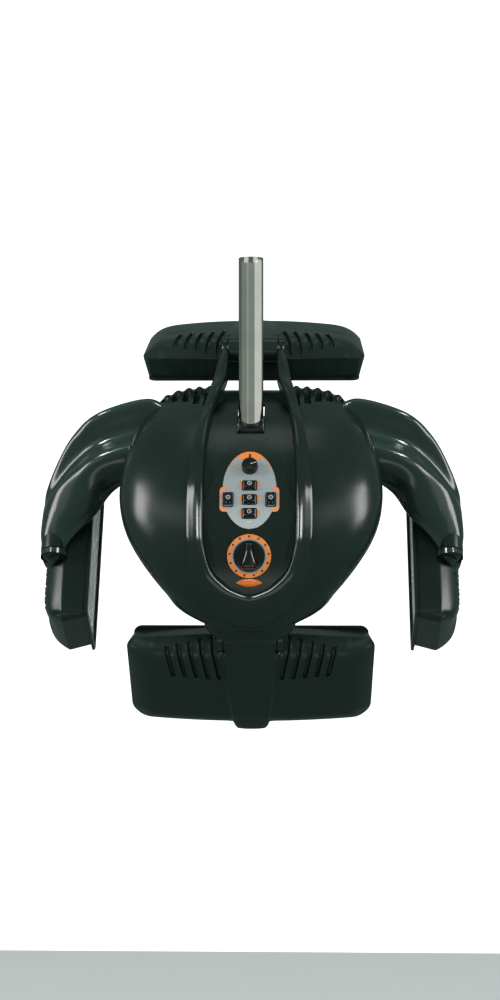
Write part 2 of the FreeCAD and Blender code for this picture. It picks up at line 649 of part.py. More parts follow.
def make_panel(name, width_alias, place):
    width, h = dim(width_alias), dim("panel_h")
    taper, depth = dim("taper"), dim("panel_depth")
    at = HEAD.multiply(place)
    feature(f"{name}_panel_shell", panel_shell(width), at)
    rim_w, rim_h = f"dimensions.{width_alias} - 2 * dimensions.taper", "dimensions.panel_h - 2 * dimensions.taper"
    keep(f"{name}_panel_bezel", frame_plate(f"{name}_panel_bezel", rim_w, rim_h, "9", "4",
                                            "-dimensions.panel_depth - 4.05"), at)
    clear = 2 * taper + 2 * dim("wall") + 2.4
    feature(f"{name}_panel_grille", grille_plate(width - clear - 6, h - clear - 6, -depth + 0.2), at)
    reflector = trough(width - clear - 14, h / 2 - clear / 2 - 2, 38, -depth + 2, -6)
    feature(f"{name}_panel_reflector", reflector, at)
    feature(f"{name}_panel_heaters", lamp_group(width - clear - 17, -20, dim("heater_spread")), at)
    up, out, reach = dim("hinge_up"), dim("hinge_out"), dim("cheek_out")
    pin = rod(Vector(-reach, up, out), Vector(reach, up, out), dim("hinge_pin_r"))
    feature(f"{name}_hinge_pin", pin, at)


# ---------------------------------------------------------------- arms
def hinge_point(place, x):
    return place.multVec(Vector(x, dim("hinge_up"), dim("hinge_out")))


def hinge_parts(place):
    """Cheeks that hold the hinge pin, the clearance for the barrel, and the pin's bore."""
    barrel = dim("barrel_r")
    cheeks = [rod(hinge_point(place, side * 36.6), hinge_point(place, side * dim("cheek_out")), barrel - 0.2)
              for side in (-1, 1)]
    clearance = rod(hinge_point(place, -36.5), hinge_point(place, 36.5), barrel + 0.9)
    bore = rod(hinge_point(place, -60), hinge_point(place, 60), dim("hinge_pin_r"))
    return cheeks, clearance, bore


def arm_screws(radius):
    """Shanks of the screws that hold the two arms' trays to the chassis."""
    return [rod(Vector(side * 135, 122, 144.5), Vector(side * 135, 122, 166), radius) for side in (-1, 1)]


def neck_screws(radius):
    """Shanks of the screws that hold the neck's tongue to the base."""
    return [rod(polar(46, 169.8, side * 26), polar(46, 194, side * 26), radius) for side in (-1, 1)]


def make_screws():
    screws = []
    for shank in arm_screws(2.5):
        centre = shank.BoundBox.Center
        head_ = rod(Vector(centre.x, centre.y, 141.5), Vector(centre.x, centre.y, 144.5), 5)
        screws.append(shank.fuse(head_).removeSplitter())
    for side, shank in zip((-1, 1), neck_screws(2.5)):
        head_ = rod(polar(46, 167, side * 26), polar(46, 169.8, side * 26), 5)
        screws.append(shank.fuse(head_).removeSplitter())
    feature("frame_screws", Part.makeCompound(screws), HEAD)


def make_side_arms():
    cheeks, clearance, bore = hinge_parts(PANELS["left"][1])
    outer = arm_solid(0)
    hollow = outer.cut(arm_solid(-3.0, 6, 5)).cut(clearance)
    seam = arm_lower_half()
    tray = only_solid(hollow.common(seam).cut(cheeks + arm_screws(2.5)))
    cover = only_solid(hollow.cut(seam).fuse(cheeks).cut([clearance, bore]).cut(tray))
    feature("left_arm_cover", cover, HEAD)
    feature("left_arm_tray", tray, HEAD)
    feature("right_arm_cover", mirror_x(cover), HEAD)
    feature("right_arm_tray", mirror_x(tray), HEAD)


def make_neck():
    """Short arm from the dome's front tip to the lower hinge."""
    place = PANELS["lower"][1]
    cheeks, clearance, bore = hinge_parts(place)
    sections = []
    for angle, half_width, low, high in ((35.85, 66, 186, 238), (33.6, 54, 198, 238), (31.9, 46, 206, 237)):
        corners = [polar(angle, low, -half_width), polar(angle, low, half_width),
                   polar(angle, high - 8, half_width), polar(angle, high, half_width - 14),
                   polar(angle, high, 14 - half_width), polar(angle, high - 8, -half_width)]
        sections.append(Part.makePolygon(corners + corners[:1]))
    neck = Part.makeLoft(sections, True, True).fuse(cheeks + [neck_tongue(38, 187, 193)])
    neck = neck.cut([clearance, bore] + neck_screws(2.5))
    feature("neck_arm", only_solid(neck), HEAD)


# Right half of the rib: (angle, x, half-width, height) of sections on the dome, from the front.
RIB_ON_DOME = [(46.3, 31, 21, 5), (50.3, 51, 19, 6), (55.7, 65, 15, 6.6), (63.5, 72, 12, 6.6), (69, 74, 12, 6.6),
               (80, 74.6, 12, 6.6), (88, 73.7, 11, 6.6), (99.5, 70, 9.5, 6.6), (111, 64.7, 8.5, 6.6),
               (118, 60.7, 8, 7)]
# Its prong behind the dome: (x, y, z, half-width) of sections down to the hinge cheek.
RIB_PRONG = [(52, 152, 212.5, 9), (46.5, 180, 199, 9.5), (43.5, 210, 189, 8.5), (41.5, 234, 179.5, 6),
             (41.3, 247, 171.5, 4.6)]
# Cross-section of the rib: across from its inner to its outer edge, and height above the dome.
RIB_SECTION = [(-0.96, 0.45), (-0.8, 0.85), (-0.5, 1.0), (-0.1, 0.91), (0.36, 0.64), (0.72, 0.42), (0.92, 0.27)]


def dome_height(angle, x):
    """Radius of the dome's outer surface at this angle and distance from its middle."""
    for (a0, w0, n0), (a1, w1, n1) in zip(STATIONS, STATIONS[1:]):
        if a0 <= angle <= a1:
            share = (angle - a0) / (a1 - a0)
            half_width, square = w0 + (w1 - w0) * share, n0 + (n1 - n0) * share
            rise = (1 - (abs(x) / half_width) ** square) ** (1 / square)
            return dim("base_r") + (dim("dome_r") - dim("base_r")) * rise
    raise ValueError(f"no dome at {angle}")


def rib_stations():
    """(centre, half-width, height, foot level) of the rib's sections from the left to the right prong."""
    half = [(polar(a, dome_height(a, x), x), w, h, 0.9) for a, x, w, h in RIB_ON_DOME]
    half += [(Vector(x, y, z), w, 6.6, -9.0) for x, y, z, w in RIB_PRONG]
    other = [(Vector(-p.x, p.y, p.z), w, h, foot) for p, w, h, foot in reversed(half)]
    return other + [(polar(43.5, dome_height(43.5, 0)), 23, 4, 0.9)] + half


def make_rib_frame():
    """Wishbone rib round the console whose two prongs reach over the rear edge to the upper hinge."""
    cheeks, clearance, bore = hinge_parts(PANELS["upper"][1])
    stations = rib_stations()
    sections = []
    for i, (centre, half_width, height, foot) in enumerate(stations):
        before, after = stations[max(i - 1, 0)][0], stations[min(i + 1, len(stations) - 1)][0]
        along = (after - before).normalize()
        tilt = math.radians(8 * (min(abs(centre.x), 75) / 75) ** 1.5)
        up = Vector(0, centre.y, centre.z).normalize() * math.cos(tilt)
        up += Vector(math.copysign(math.sin(tilt), centre.x), 0, 0)
        outward = along.cross(up).normalize()
        up = outward.cross(along)
        outline = [(-1, foot)] + [(a, h * height) for a, h in RIB_SECTION] + [(1, foot)]
        ring = [centre + outward * (a * half_width) + up * h for a, h in outline]
        sections.append(Part.makePolygon(ring + ring[:1]))
    rib = Part.makeLoft(sections, True, False)
    feature("rib_frame", only_solid(rib.fuse(cheeks).cut([clearance, bore])), HEAD)


def write_parts():
    os.makedirs("parts", exist_ok=True)
    doc.recompute()
    for obj in doc.Objects:
        if set(obj.State) & {"Invalid", "Error"}:
            raise RuntimeError(f"{obj.Name} failed: {obj.State}")
    for name, obj in subparts.items():
        shape = obj.Shape
        if shape.isNull() or not shape.isValid() or not shape.Solids:
            raise RuntimeError(f"{name} has no valid shape")
    for name, obj in subparts.items():
        obj.Shape.exportStep(f"parts/{name}.step")
        print(f"{name:26s} solids {len(obj.Shape.Solids)} volume {obj.Shape.Volume / 1000:9.2f} cm3")


make_support()
make_dome()
make_console()
make_knobs()
make_units()
make_switches()
make_chassis()
make_centre_heater()
for panel_name, (alias_, place_) in PANELS.items():
    make_panel(panel_name, alias_, place_)
make_side_arms()
make_neck()
make_screws()
make_rib_frame()
write_parts()
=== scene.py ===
import math

import bmesh
import bpy
import numpy as np
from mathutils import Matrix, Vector


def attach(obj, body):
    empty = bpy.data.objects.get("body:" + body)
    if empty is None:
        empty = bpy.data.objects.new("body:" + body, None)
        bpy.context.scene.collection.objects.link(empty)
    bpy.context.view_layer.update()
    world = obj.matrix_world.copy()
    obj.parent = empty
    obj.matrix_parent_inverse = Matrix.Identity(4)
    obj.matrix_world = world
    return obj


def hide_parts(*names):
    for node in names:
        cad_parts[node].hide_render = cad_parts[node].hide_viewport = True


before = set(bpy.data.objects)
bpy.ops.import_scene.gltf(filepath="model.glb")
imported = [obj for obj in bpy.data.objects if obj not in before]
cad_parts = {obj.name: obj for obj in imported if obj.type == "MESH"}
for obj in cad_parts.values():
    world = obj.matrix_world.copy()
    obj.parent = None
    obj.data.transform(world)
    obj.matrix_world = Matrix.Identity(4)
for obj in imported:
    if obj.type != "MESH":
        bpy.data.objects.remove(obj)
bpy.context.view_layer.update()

# ------------------------------------------------------------------ frames (millimetres inside, metres out)


def rot_x(deg):
    c, s = math.cos(math.radians(deg)), math.sin(math.radians(deg))
    return np.array([[1, 0, 0], [0, c, -s], [0, s, c]])


def rot_z(deg):
    c, s = math.cos(math.radians(deg)), math.sin(math.radians(deg))
    return np.array([[c, -s, 0], [s, c, 0], [0, 0, 1]])


HEAD_TURN = rot_x(60)
HEAD_AT = np.array([0.0, 148.0, -420.0])
DOME_R, BASE_R, CONSOLE_R = 247.0, 174.0, 244.0


def from_head(points):
    """Head-frame millimetres to world metres."""
    return (np.asarray(points, float) @ HEAD_TURN.T + HEAD_AT) / 1000.0


class PanelFrame:
    """x along the panel, y up towards its hinge, z outwards through its back."""

    def __init__(self, azimuth, reach, level, lean, forward=0.0):
        self.turn = rot_z(azimuth) @ rot_x(90 - lean)
        self.at = rot_z(azimuth) @ np.array([0.0, -reach, level]) - np.array([0.0, forward, 0.0])

    def world(self, points):
        return from_head(np.asarray(points, float) @ self.turn.T + self.at)


PANELS = {
    "lower": (346.0, PanelFrame(0, 216.8, 39.8, 32)),
    "upper": (330.0, PanelFrame(180, 302, 105, 50)),
    "left": (270.0, PanelFrame(-90, 265, 37, 0, 20)),
    "right": (270.0, PanelFrame(90, 265, 37, 0, 20)),
}
PANEL_H, PANEL_DEPTH, TAPER = 145.0, 32.0, 8.0
HINGE_UP, HINGE_OUT, BARREL_R = 74.0, 14.5, 19.0


def console(x, v, lift=0.0):
    """Head-frame point on the console's cylinder; v is its height across the console's middle."""
    x, v = np.broadcast_arrays(np.asarray(x, float), np.asarray(v, float))
    r = CONSOLE_R + lift
    turn = np.radians(60) + np.arcsin(v / CONSOLE_R)
    return np.stack([x, -r * np.cos(turn), r * np.sin(turn)], -1)


def polar(angle, r, x=0.0):
    angle, r, x = np.broadcast_arrays(np.asarray(angle, float), np.asarray(r, float), np.asarray(x, float))
    t = np.radians(angle)
    return np.stack([x, -r * np.cos(t), r * np.sin(t)], -1)


def dome_frame(angle, r, x=0.0):
    """(turn, at) of a frame with z along the dome's normal, y up the dome, x to the right."""
    return rot_x(90 - angle), polar(angle, r, x)


# ------------------------------------------------------------------ small maths


def step(a, b, x):
    t = np.clip((np.asarray(x, float) - a) / (b - a), 0, 1)
    return t * t * (3 - 2 * t)


def spline(points, count, closed=False):
    """Catmull-Rom curve through the rows of points, count samples."""
    p = np.asarray(points, float)
    if closed:
        q = np.concatenate([p[-1:], p, p[:2]])
        spans = len(p)
    else:
        q = np.concatenate([2 * p[:1] - p[1:2], p, 2 * p[-1:] - p[-2:-1]])
        spans = len(p) - 1
    t = np.linspace(0, spans, count, endpoint=not closed)
    i = np.minimum(t.astype(int), spans - 1)
    u = (t - i).reshape((-1,) + (1,) * (p.ndim - 1))
    a, b, c, d = q[i], q[i + 1], q[i + 2], q[i + 3]
    return 0.5 * (2 * b + (c - a) * u + (2 * a - 5 * b + 4 * c - d) * u**2 + (-a + 3 * b - 3 * c + d) * u**3)


def through(x, xs, ys):
    """Smooth curve through (xs, ys), evaluated at x."""
    xs, ys = np.asarray(xs, float), np.asarray(ys, float)
    x = np.clip(np.asarray(x, float), xs[0], xs[-1])
    slope = np.gradient(ys, xs, axis=0)
    i = np.clip(np.searchsorted(xs, x, side="right") - 1, 0, len(xs) - 2)
    h = xs[i + 1] - xs[i]
    u = (x - xs[i]) / h
    if ys.ndim > 1:
        h, u = h[..., None], u[..., None]
    return ((1 + 2 * u) * (1 - u) ** 2 * ys[i] + u * (1 - u) ** 2 * h * slope[i]
            + u**2 * (3 - 2 * u) * ys[i + 1] + u**2 * (u - 1) * h * slope[i + 1])


def even(curve, count):
    """Resamples rows of points to equal arc length."""
    length = np.concatenate([[0], np.cumsum(np.linalg.norm(np.diff(curve, axis=0), axis=1))])
    want = np.linspace(0, length[-1], count)
    return np.stack([np.interp(want, length, curve[:, k]) for k in range(curve.shape[1])], -1)


def rounded_outline(width, height, radius, per_corner=10, per_side=12):
    """Points round a rounded rectangle, anticlockwise from the right."""
    a, b = width / 2 - radius, height / 2 - radius
    rows = []
    for cx, cy, start in ((a, b, 0), (-a, b, 90), (-a, -b, 180), (a, -b, 270)):
        for k in range(per_corner + 1):
            t = math.radians(start + 90 * k / per_corner)
            rows.append((cx + radius * math.cos(t), cy + radius * math.sin(t)))
    rows = np.array(rows)
    out = []
    for p, q in zip(rows, np.roll(rows, -1, axis=0)):
        gap = np.linalg.norm(q - p)
        n = per_side if gap > 3 * radius / per_corner * 1.6 and gap > 6 else 1
        out += [p + (q - p) * k / n for k in range(n)]
    return np.array(out)


# ------------------------------------------------------------------ mesh building


class Build:
    """Collects sheets of faces for one mesh."""

    def __init__(self):
        self.verts, self.faces, self.slots, self.count = [], [], [], 0

    def add(self, verts, faces, slot=0):
        verts = np.asarray(verts, float).reshape(-1, 3)
        self.verts.append(verts)
        self.faces += [tuple(i + self.count for i in f) for f in faces]
        self.slots += [slot] * len(faces)
        self.count += len(verts)

    def grid(self, points, wrap_rows=False, wrap_cols=False, slot=0, flip=False):
        """Sheet of quads over rows of points, closed on itself where it wraps."""
        points = np.asarray(points, float)
        n, m = points.shape[:2]
        rows = n if wrap_rows else n - 1
        cols = m if wrap_cols else m - 1
        i, j = np.meshgrid(np.arange(rows), np.arange(cols), indexing="ij")
        i2, j2 = (i + 1) % n, (j + 1) % m
        quads = np.stack([i * m + j, i * m + j2, i2 * m + j2, i2 * m + j], -1).reshape(-1, 4)
        if flip:
            quads = quads[:, ::-1]
        self.add(points.reshape(-1, 3), quads.tolist(), slot)

    def tube(self, rings, flip=False):
        """Closed rings joined into a tube, with flat caps at both ends."""
        rings = np.asarray(rings, float)
        n, m = rings.shape[:2]
        first = self.count
        self.grid(rings, wrap_cols=True, flip=flip)
        head, tail = list(range(m))[::-1], [(n - 1) * m + k for k in range(m)]
        if flip:
            head, tail = head[::-1], tail[::-1]
        self.faces += [tuple(first + k for k in head), tuple(first + k for k in tail)]
        self.slots += [0, 0]

    def merge(self, other, turn, at):
        verts = np.concatenate(other.verts) @ np.asarray(turn).T + np.asarray(at)
        base = self.count
        self.verts.append(verts)
        self.faces += [tuple(i + base for i in f) for f in other.faces]
        self.slots += other.slots
        self.count += len(verts)


def piece(name, build, to_world, materials, body, stands_for=(), sharp=32, solid=0.0, weld=True):
    """Mesh object from a build whose points to_world takes into world metres; solid is its wall in mm."""
    mesh = bpy.data.meshes.new(name)
    verts = to_world(np.concatenate(build.verts))
    mesh.from_pydata(verts.tolist(), [], build.faces)
    mesh.polygons.foreach_set("material_index", build.slots)
    if weld:
        bm = bmesh.new()
        bm.from_mesh(mesh)
        bmesh.ops.remove_doubles(bm, verts=bm.verts, dist=2e-6)
        bmesh.ops.recalc_face_normals(bm, faces=bm.faces)
        bm.to_mesh(mesh)
        bm.free()
    mesh.update()
    obj = bpy.data.objects.new(name, mesh)
    bpy.context.collection.objects.link(obj)
    for material in materials:
        mesh.materials.append(material)
    mesh.shade_smooth()
    mesh.set_sharp_from_angle(angle=math.radians(sharp))
    if solid:
        thick = obj.modifiers.new("wall", "SOLIDIFY")
        thick.thickness, thick.offset = solid / 1000, -1
        thick.use_even_offset = False
    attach(obj, body)
    if stands_for:
        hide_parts(*stands_for)
    return obj


# ------------------------------------------------------------------ materials


def node_material(name):
    mat = bpy.data.materials.new(name)
    mat.use_nodes = True
    nodes, links = mat.node_tree.nodes, mat.node_tree.links
    return mat, nodes, links, nodes["Principled BSDF"]


def noise(nodes, links, coords, scale, detail=3.0, rough=0.55):
    tex = nodes.new("ShaderNodeTexNoise")
    tex.inputs["Scale"].default_value = scale
    tex.inputs["Detail"].default_value = detail
    tex.inputs["Roughness"].default_value = rough
    links.new(coords, tex.inputs["Vector"])
    return tex.outputs["Fac"]


def ramp(nodes, links, value, stops):
    node = nodes.new("ShaderNodeValToRGB")
    elements = node.color_ramp.elements
    while len(elements) < len(stops):
        elements.new(0.5)
    for element, (at, colour) in zip(elements, stops):
        element.position = at
        element.color = (*colour, 1)
    links.new(value, node.inputs["Fac"])
    return node.outputs["Color"]


def spread(nodes, links, value, low, high, a, b):
    node = nodes.new("ShaderNodeMapRange")
    for key, number in (("From Min", low), ("From Max", high), ("To Min", a), ("To Max", b)):
        node.inputs[key].default_value = number
    links.new(value, node.inputs["Value"])
    return node.outputs["Result"]


def bump(nodes, links, height, strength, distance, shader, below=None):
    node = nodes.new("ShaderNodeBump")
    node.inputs["Strength"].default_value = strength
    node.inputs["Distance"].default_value = distance
    links.new(height, node.inputs["Height"])
    if below is not None:
        links.new(below, node.inputs["Normal"])
    links.new(node.outputs["Normal"], shader.inputs["Normal"])
    return node.outputs["Normal"]


def moulded(name, dark, light, rough_low, rough_high, grain=0.0):
    """Moulded plastic: slow drift of tone and roughness, orange peel, optional fine grain."""
    mat, nodes, links, shader = node_material(name)
    coords = nodes.new("ShaderNodeTexCoord").outputs["Object"]
    slow = noise(nodes, links, coords, 9.0, 4.0)
    links.new(ramp(nodes, links, slow, [(0.3, dark), (0.75, light)]), shader.inputs["Base Color"])
    patches = noise(nodes, links, coords, 34.0, 5.0, 0.6)
    links.new(spread(nodes, links, patches, 0.35, 0.7, rough_low, rough_high), shader.inputs["Roughness"])
    peel = noise(nodes, links, coords, 260.0, 2.0)
    normal = bump(nodes, links, peel, 0.02, 0.001, shader)
    if grain:
        fine = noise(nodes, links, coords, 2600.0, 2.0)
        bump(nodes, links, fine, grain, 0.0006, shader, below=normal)
    return mat


def metal(name, colour, dark, rough_low, rough_high, stretch=(1, 1, 1), scale=600.0, strength=0.05):
    """Metal with fine directional scratches and a slow tarnish."""
    mat, nodes, links, shader = node_material(name)
    coords = nodes.new("ShaderNodeTexCoord").outputs["Object"]
    mapping = nodes.new("ShaderNodeMapping")
    mapping.inputs["Scale"].default_value = stretch
    links.new(coords, mapping.inputs["Vector"])
    scratch = noise(nodes, links, mapping.outputs["Vector"], scale, 3.0, 0.6)
    slow = noise(nodes, links, coords, 22.0, 3.0)
    links.new(ramp(nodes, links, slow, [(0.3, dark), (0.7, colour)]), shader.inputs["Base Color"])
    links.new(spread(nodes, links, scratch, 0.3, 0.7, rough_low, rough_high), shader.inputs["Roughness"])
    bump(nodes, links, scratch, strength, 0.0004, shader)
    shader.inputs["Metallic"].default_value = 1.0
    return mat


def printed(name, dark, light, rough=0.45):
    """Printed film or ink: faint mottling and a soft sheen."""
    mat, nodes, links, shader = node_material(name)
    coords = nodes.new("ShaderNodeTexCoord").outputs["Object"]
    mottle = noise(nodes, links, coords, 420.0, 3.0)
    links.new(ramp(nodes, links, mottle, [(0.3, dark), (0.7, light)]), shader.inputs["Base Color"])
    links.new(spread(nodes, links, mottle, 0.3, 0.7, rough - 0.06, rough + 0.08), shader.inputs["Roughness"])
    bump(nodes, links, mottle, 0.04, 0.0003, shader)
    return mat


GLOSS = moulded("gloss_black", (0.0105, 0.0225, 0.0172), (0.0150, 0.0300, 0.0235), 0.22, 0.29)
# Rib: the same gloss black plastic with a darker base colour, painted shade that offsets the extra diffuse
# light from the rib's own lights
GLOSS_RIB_PAINTED_SHADE = moulded("gloss_black_rib_painted_shade", (0.0045, 0.0095, 0.0075), (0.0065, 0.0130, 0.0105), 0.13, 0.18)
# Arms: the same gloss black plastic with a lighter base colour, painted light standing in for the brighter
# reflections on the arms
GLOSS_ARM_PAINTED_LIGHT = moulded("gloss_black_arm_painted_light", (0.0135, 0.0270, 0.0212), (0.0180, 0.0345, 0.0275), 0.15, 0.20)
PANEL = moulded("panel_black", (0.0110, 0.0235, 0.0182), (0.0155, 0.0310, 0.0245), 0.26, 0.36, grain=0.02)
CONSOLE = moulded("console_black", (0.0085, 0.0180, 0.0138), (0.0120, 0.0235, 0.0185), 0.24, 0.32, grain=0.03)
SATIN = moulded("satin_black", (0.007, 0.0130, 0.0105), (0.013, 0.0210, 0.0175), 0.38, 0.52, grain=0.05)
BEZEL = moulded("bezel_black", (0.016, 0.02, 0.018), (0.028, 0.034, 0.031), 0.25, 0.38, grain=0.03)
KNOB = moulded("knob_black", (0.007, 0.0105, 0.009), (0.012, 0.0165, 0.0145), 0.15, 0.22, grain=0.02)
SWITCH = moulded("switch_black", (0.005, 0.006, 0.006), (0.009, 0.0105, 0.010), 0.22, 0.34, grain=0.02)
STEEL = metal("tube_steel", (0.52, 0.51, 0.47), (0.44, 0.435, 0.405), 0.09, 0.15, (1, 1, 0.003), 900.0, 0.02)
ZINC = metal("zinc_steel", (0.58, 0.58, 0.56), (0.44, 0.44, 0.43), 0.28, 0.42)
MESH = metal("mesh_steel", (0.86, 0.86, 0.84), (0.72, 0.72, 0.70), 0.34, 0.48)
REFLECT = metal("reflector_aluminium", (0.86, 0.86, 0.85), (0.74, 0.74, 0.73), 0.12, 0.24, (0.2, 1, 1), 300.0)
ORANGE = printed("orange_ink", (0.90, 0.225, 0.032), (1.0, 0.30, 0.05))
GREY = printed("label_grey", (0.30, 0.335, 0.355), (0.37, 0.405, 0.425), 0.34)
WHITE = printed("white_ink", (0.66, 0.66, 0.65), (0.78, 0.78, 0.77), 0.5)
INK = printed("dark_ink", (0.02, 0.012, 0.012), (0.03, 0.016, 0.016), 0.5)


def lamp_material():
    mat, nodes, links, shader = node_material("lamp_orange")
    coords = nodes.new("ShaderNodeTexCoord").outputs["Object"]
    cells = noise(nodes, links, coords, 700.0, 2.0)
    links.new(ramp(nodes, links, cells, [(0.3, (0.72, 0.16, 0.012)), (0.7, (0.86, 0.25, 0.03))]),
              shader.inputs["Base Color"])
    bump(nodes, links, cells, 0.1, 0.0004, shader)
    shader.inputs["Roughness"].default_value = 0.12
    shader.inputs["Subsurface Weight"].default_value = 0.25
    shader.inputs["Subsurface Radius"].default_value = (0.004, 0.0015, 0.0006)
    return mat


def quartz_material():
    mat, nodes, links, shader = node_material("quartz_glass")
    coords = nodes.new("ShaderNodeTexCoord").outputs["Object"]
    haze = noise(nodes, links, coords, 160.0, 3.0)
    links.new(ramp(nodes, links, haze, [(0.3, (0.66, 0.60, 0.52)), (0.7, (0.80, 0.76, 0.70))]),
              shader.inputs["Base Color"])
    links.new(spread(nodes, links, haze, 0.3, 0.7, 0.12, 0.3), shader.inputs["Roughness"])
    bump(nodes, links, haze, 0.05, 0.0004, shader)
    shader.inputs["Transmission Weight"].default_value = 0.35
    return mat


LAMP, QUARTZ = lamp_material(), quartz_material()

# ------------------------------------------------------------------ camera, backdrop and light

CAMERA_YAW, CAMERA_REACH, CAMERA_Z, LENS = math.radians(1.5), 2.6, -0.3388, 66.852
camera_data = bpy.data.cameras.new("camera")
camera_data.sensor_width = 36.0
camera_data.lens = LENS
camera_data.shift_x = -0.001
camera = bpy.data.objects.new("camera", camera_data)
bpy.context.collection.objects.link(camera)
camera.location = (CAMERA_REACH * math.sin(CAMERA_YAW), -CAMERA_REACH * math.cos(CAMERA_YAW), CAMERA_Z)
camera.rotation_euler = (math.radians(90), 0, CAMERA_YAW)
bpy.context.scene.camera = camera


def stage_plane(name, corners, strength):
    """Plain pale sheet that glows evenly and is left out of reflections."""
    mesh = bpy.data.meshes.new(name)
    mesh.from_pydata(corners, [], [(0, 1, 2, 3)])
    obj = bpy.data.objects.new(name, mesh)
    bpy.context.collection.objects.link(obj)
    mat, nodes, links, shader = node_material(name)
    coords = nodes.new("ShaderNodeTexCoord").outputs["Object"]
    tone = noise(nodes, links, coords, 3.0, 2.0)
    links.new(ramp(nodes, links, tone, [(0.3, (0.9, 0.9, 0.9)), (0.7, (0.93, 0.93, 0.93))]),
              shader.inputs["Base Color"])
    shader.inputs["Roughness"].default_value = 0.9
    shader.inputs["Emission Color"].default_value = (1, 1, 1, 1)
    shader.inputs["Emission Strength"].default_value = strength
    mesh.materials.append(mat)
    obj.visible_glossy = obj.visible_diffuse = False


stage_plane("backdrop", [(-6, 3.2, -1.75), (6, 3.2, -1.75), (6, 3.2, 4), (-6, 3.2, 4)], 1.0)
stage_plane("floor", [(-6, -5, -1.75), (6, -5, -1.75), (6, 3.2, -1.75), (-6, 3.2, -1.75)], 0.25)


HEAD_SPOT, TUBE_SPOT = (0, 0, -0.36), (0, 0, -0.12)


def softbox(name, at, width, height, power, only=None, aim=HEAD_SPOT):
    """Area light; only is the collection whose receivers it lights."""
    data = bpy.data.lights.new(name, "AREA")
    data.shape, data.size, data.size_y, data.energy = "RECTANGLE", width, height, power
    obj = bpy.data.objects.new(name, data)
    bpy.context.collection.objects.link(obj)
    obj.location = at
    obj.rotation_euler = (Vector(aim) - Vector(at)).to_track_quat("-Z", "Y").to_euler()
    if only:
        obj.light_linking.receiver_collection = only


world = bpy.data.worlds.new("studio")
bpy.context.scene.world = world
world.use_nodes = True
world.node_tree.nodes["Background"].inputs["Color"].default_value = (0.74, 1.0, 0.88, 1)
world.node_tree.nodes["Background"].inputs["Strength"].default_value = 0.21
bpy.context.scene.view_settings.view_transform = "Standard"

not_on_tube, tube_light, guard_light, rib_light, arm_light, label_light = (
    bpy.data.collections.new(name) for name in ("not_on_tube", "tube_light", "guard_light", "rib_light",
                                                "arm_light", "label_light"))
for side in (-1, 1):
    softbox("key", (side * 2.55, -1.0, 0.65), 0.9, 1.4, 36, not_on_tube)
    softbox("broad", (side * 1.75, -1.8, 0.8), 2.0, 0.7, 4)
softbox("top", (0, -0.1, 2.0), 1.2, 0.8, 2)
softbox("front_low", (0, -2.6, -1.2), 1.6, 0.4, 3)
softbox("tube_right", (1.3, -0.35, -0.1), 2.4, 0.9, 6, tube_light, TUBE_SPOT)
softbox("tube_left", (-1.3, -0.8, -0.1), 2.2, 0.9, 1.1, tube_light, TUBE_SPOT)
softbox("tube_front", (-0.1, -2.0, -0.1), 2.6, 0.9, 1.8, tube_light, TUBE_SPOT)
softbox("guards", (0, -2.4, -0.3), 1.8, 1.0, 300, guard_light)
softbox("label", (0, -2.6, 0.6), 0.8, 0.8, 20, label_light)
for side in (-1, 1):
    softbox("rib_streak", (side * 1.0, -2.4, 0.55), 0.9, 0.8, 40, rib_light)
    softbox("arm_streak", (side * 1.4, -0.95, 2.05), 0.8, 0.35, 40, arm_light)

# ------------------------------------------------------------------ dome
# Half-width of the dome and squareness of its arch, by angle from the front horizon.
DOME = np.array([(36, 72, 2.5), (39.5, 98, 2.5), (46, 119, 2.5), (53.7, 140, 2.5), (69.7, 171, 2.5),
                 (85, 183, 2.5), (103, 181, 2.6), (120, 169, 3.1), (138, 146, 4.4), (150, 130, 4.6),
                 (155, 122, 4.6), (158, 114, 4.6)])
# Rib on the dome: angle, x, half-width, height; then its prongs behind the dome: x, y, z, half-width.
RIB_FRONT = (43.5, 23, 4)
RIB_ON_DOME = [(46.3, 31, 21, 5), (50.3, 51, 19, 6), (55.7, 65, 15, 6.6), (63.5, 72, 12, 6.6),
               (69, 74, 12, 6.6), (80, 74.6, 12, 6.6), (88, 73.7, 11, 6.6), (99.5, 70, 9.5, 6.6),
               (111, 64.7, 8.5, 6.6), (118, 60.7, 8, 7)]
RIB_PRONG = [(52, 152, 212.5, 9), (46.5, 180, 199, 9.5), (43.5, 210, 189, 8.5), (41.5, 234, 179.5, 6),
             (41.3, 247, 171.5, 4.6)]
RIB_SECTION = [(-1, -0.3), (-0.985, 0.3), (-0.93, 0.62), (-0.8, 0.88), (-0.5, 1.0), (-0.1, 0.91),
               (0.36, 0.64), (0.72, 0.42), (0.9, 0.27), (0.97, 0.1), (1, -0.3)]
FLOOR_DEPTH = 3.6
TUBE_SLOT = 18.5
SLOT_FROM, SLOT_TO = 105.6, 124.6
FIN_PITCH, FIN_FIRST, FIN_COUNT = 15.7, 63.5, 5


def dome_width(angle):
    return through(angle, DOME[:, 0], DOME[:, 1])


def dome_square(angle):
    return np.interp(angle, DOME[:, 0], DOME[:, 2])


def dome_top(angle):
    rear = 19 * np.clip((angle - 146) / 12, 0, None) ** 2.2
    front = 5 * np.clip((42 - angle) / 6, 0, None) ** 2
    return DOME_R - rear - front


def dome_height(angle, x):
    share = np.clip(np.abs(x) / dome_width(angle), 0, 1)
    n = dome_square(angle)
    return BASE_R + (dome_top(angle) - BASE_R) * (1 - share**n) ** (1 / n)


def rib_middle(angle):
    """Distance of the rib's middle line from the centre plane at this angle."""
    table = [(43.5, 0)] + [(a, x) for a, x, _, _ in RIB_ON_DOME] + [(126, 52), (134, 47), (158, 43)]
    return np.interp(angle, [a for a, _ in table], [x for _, x in table])


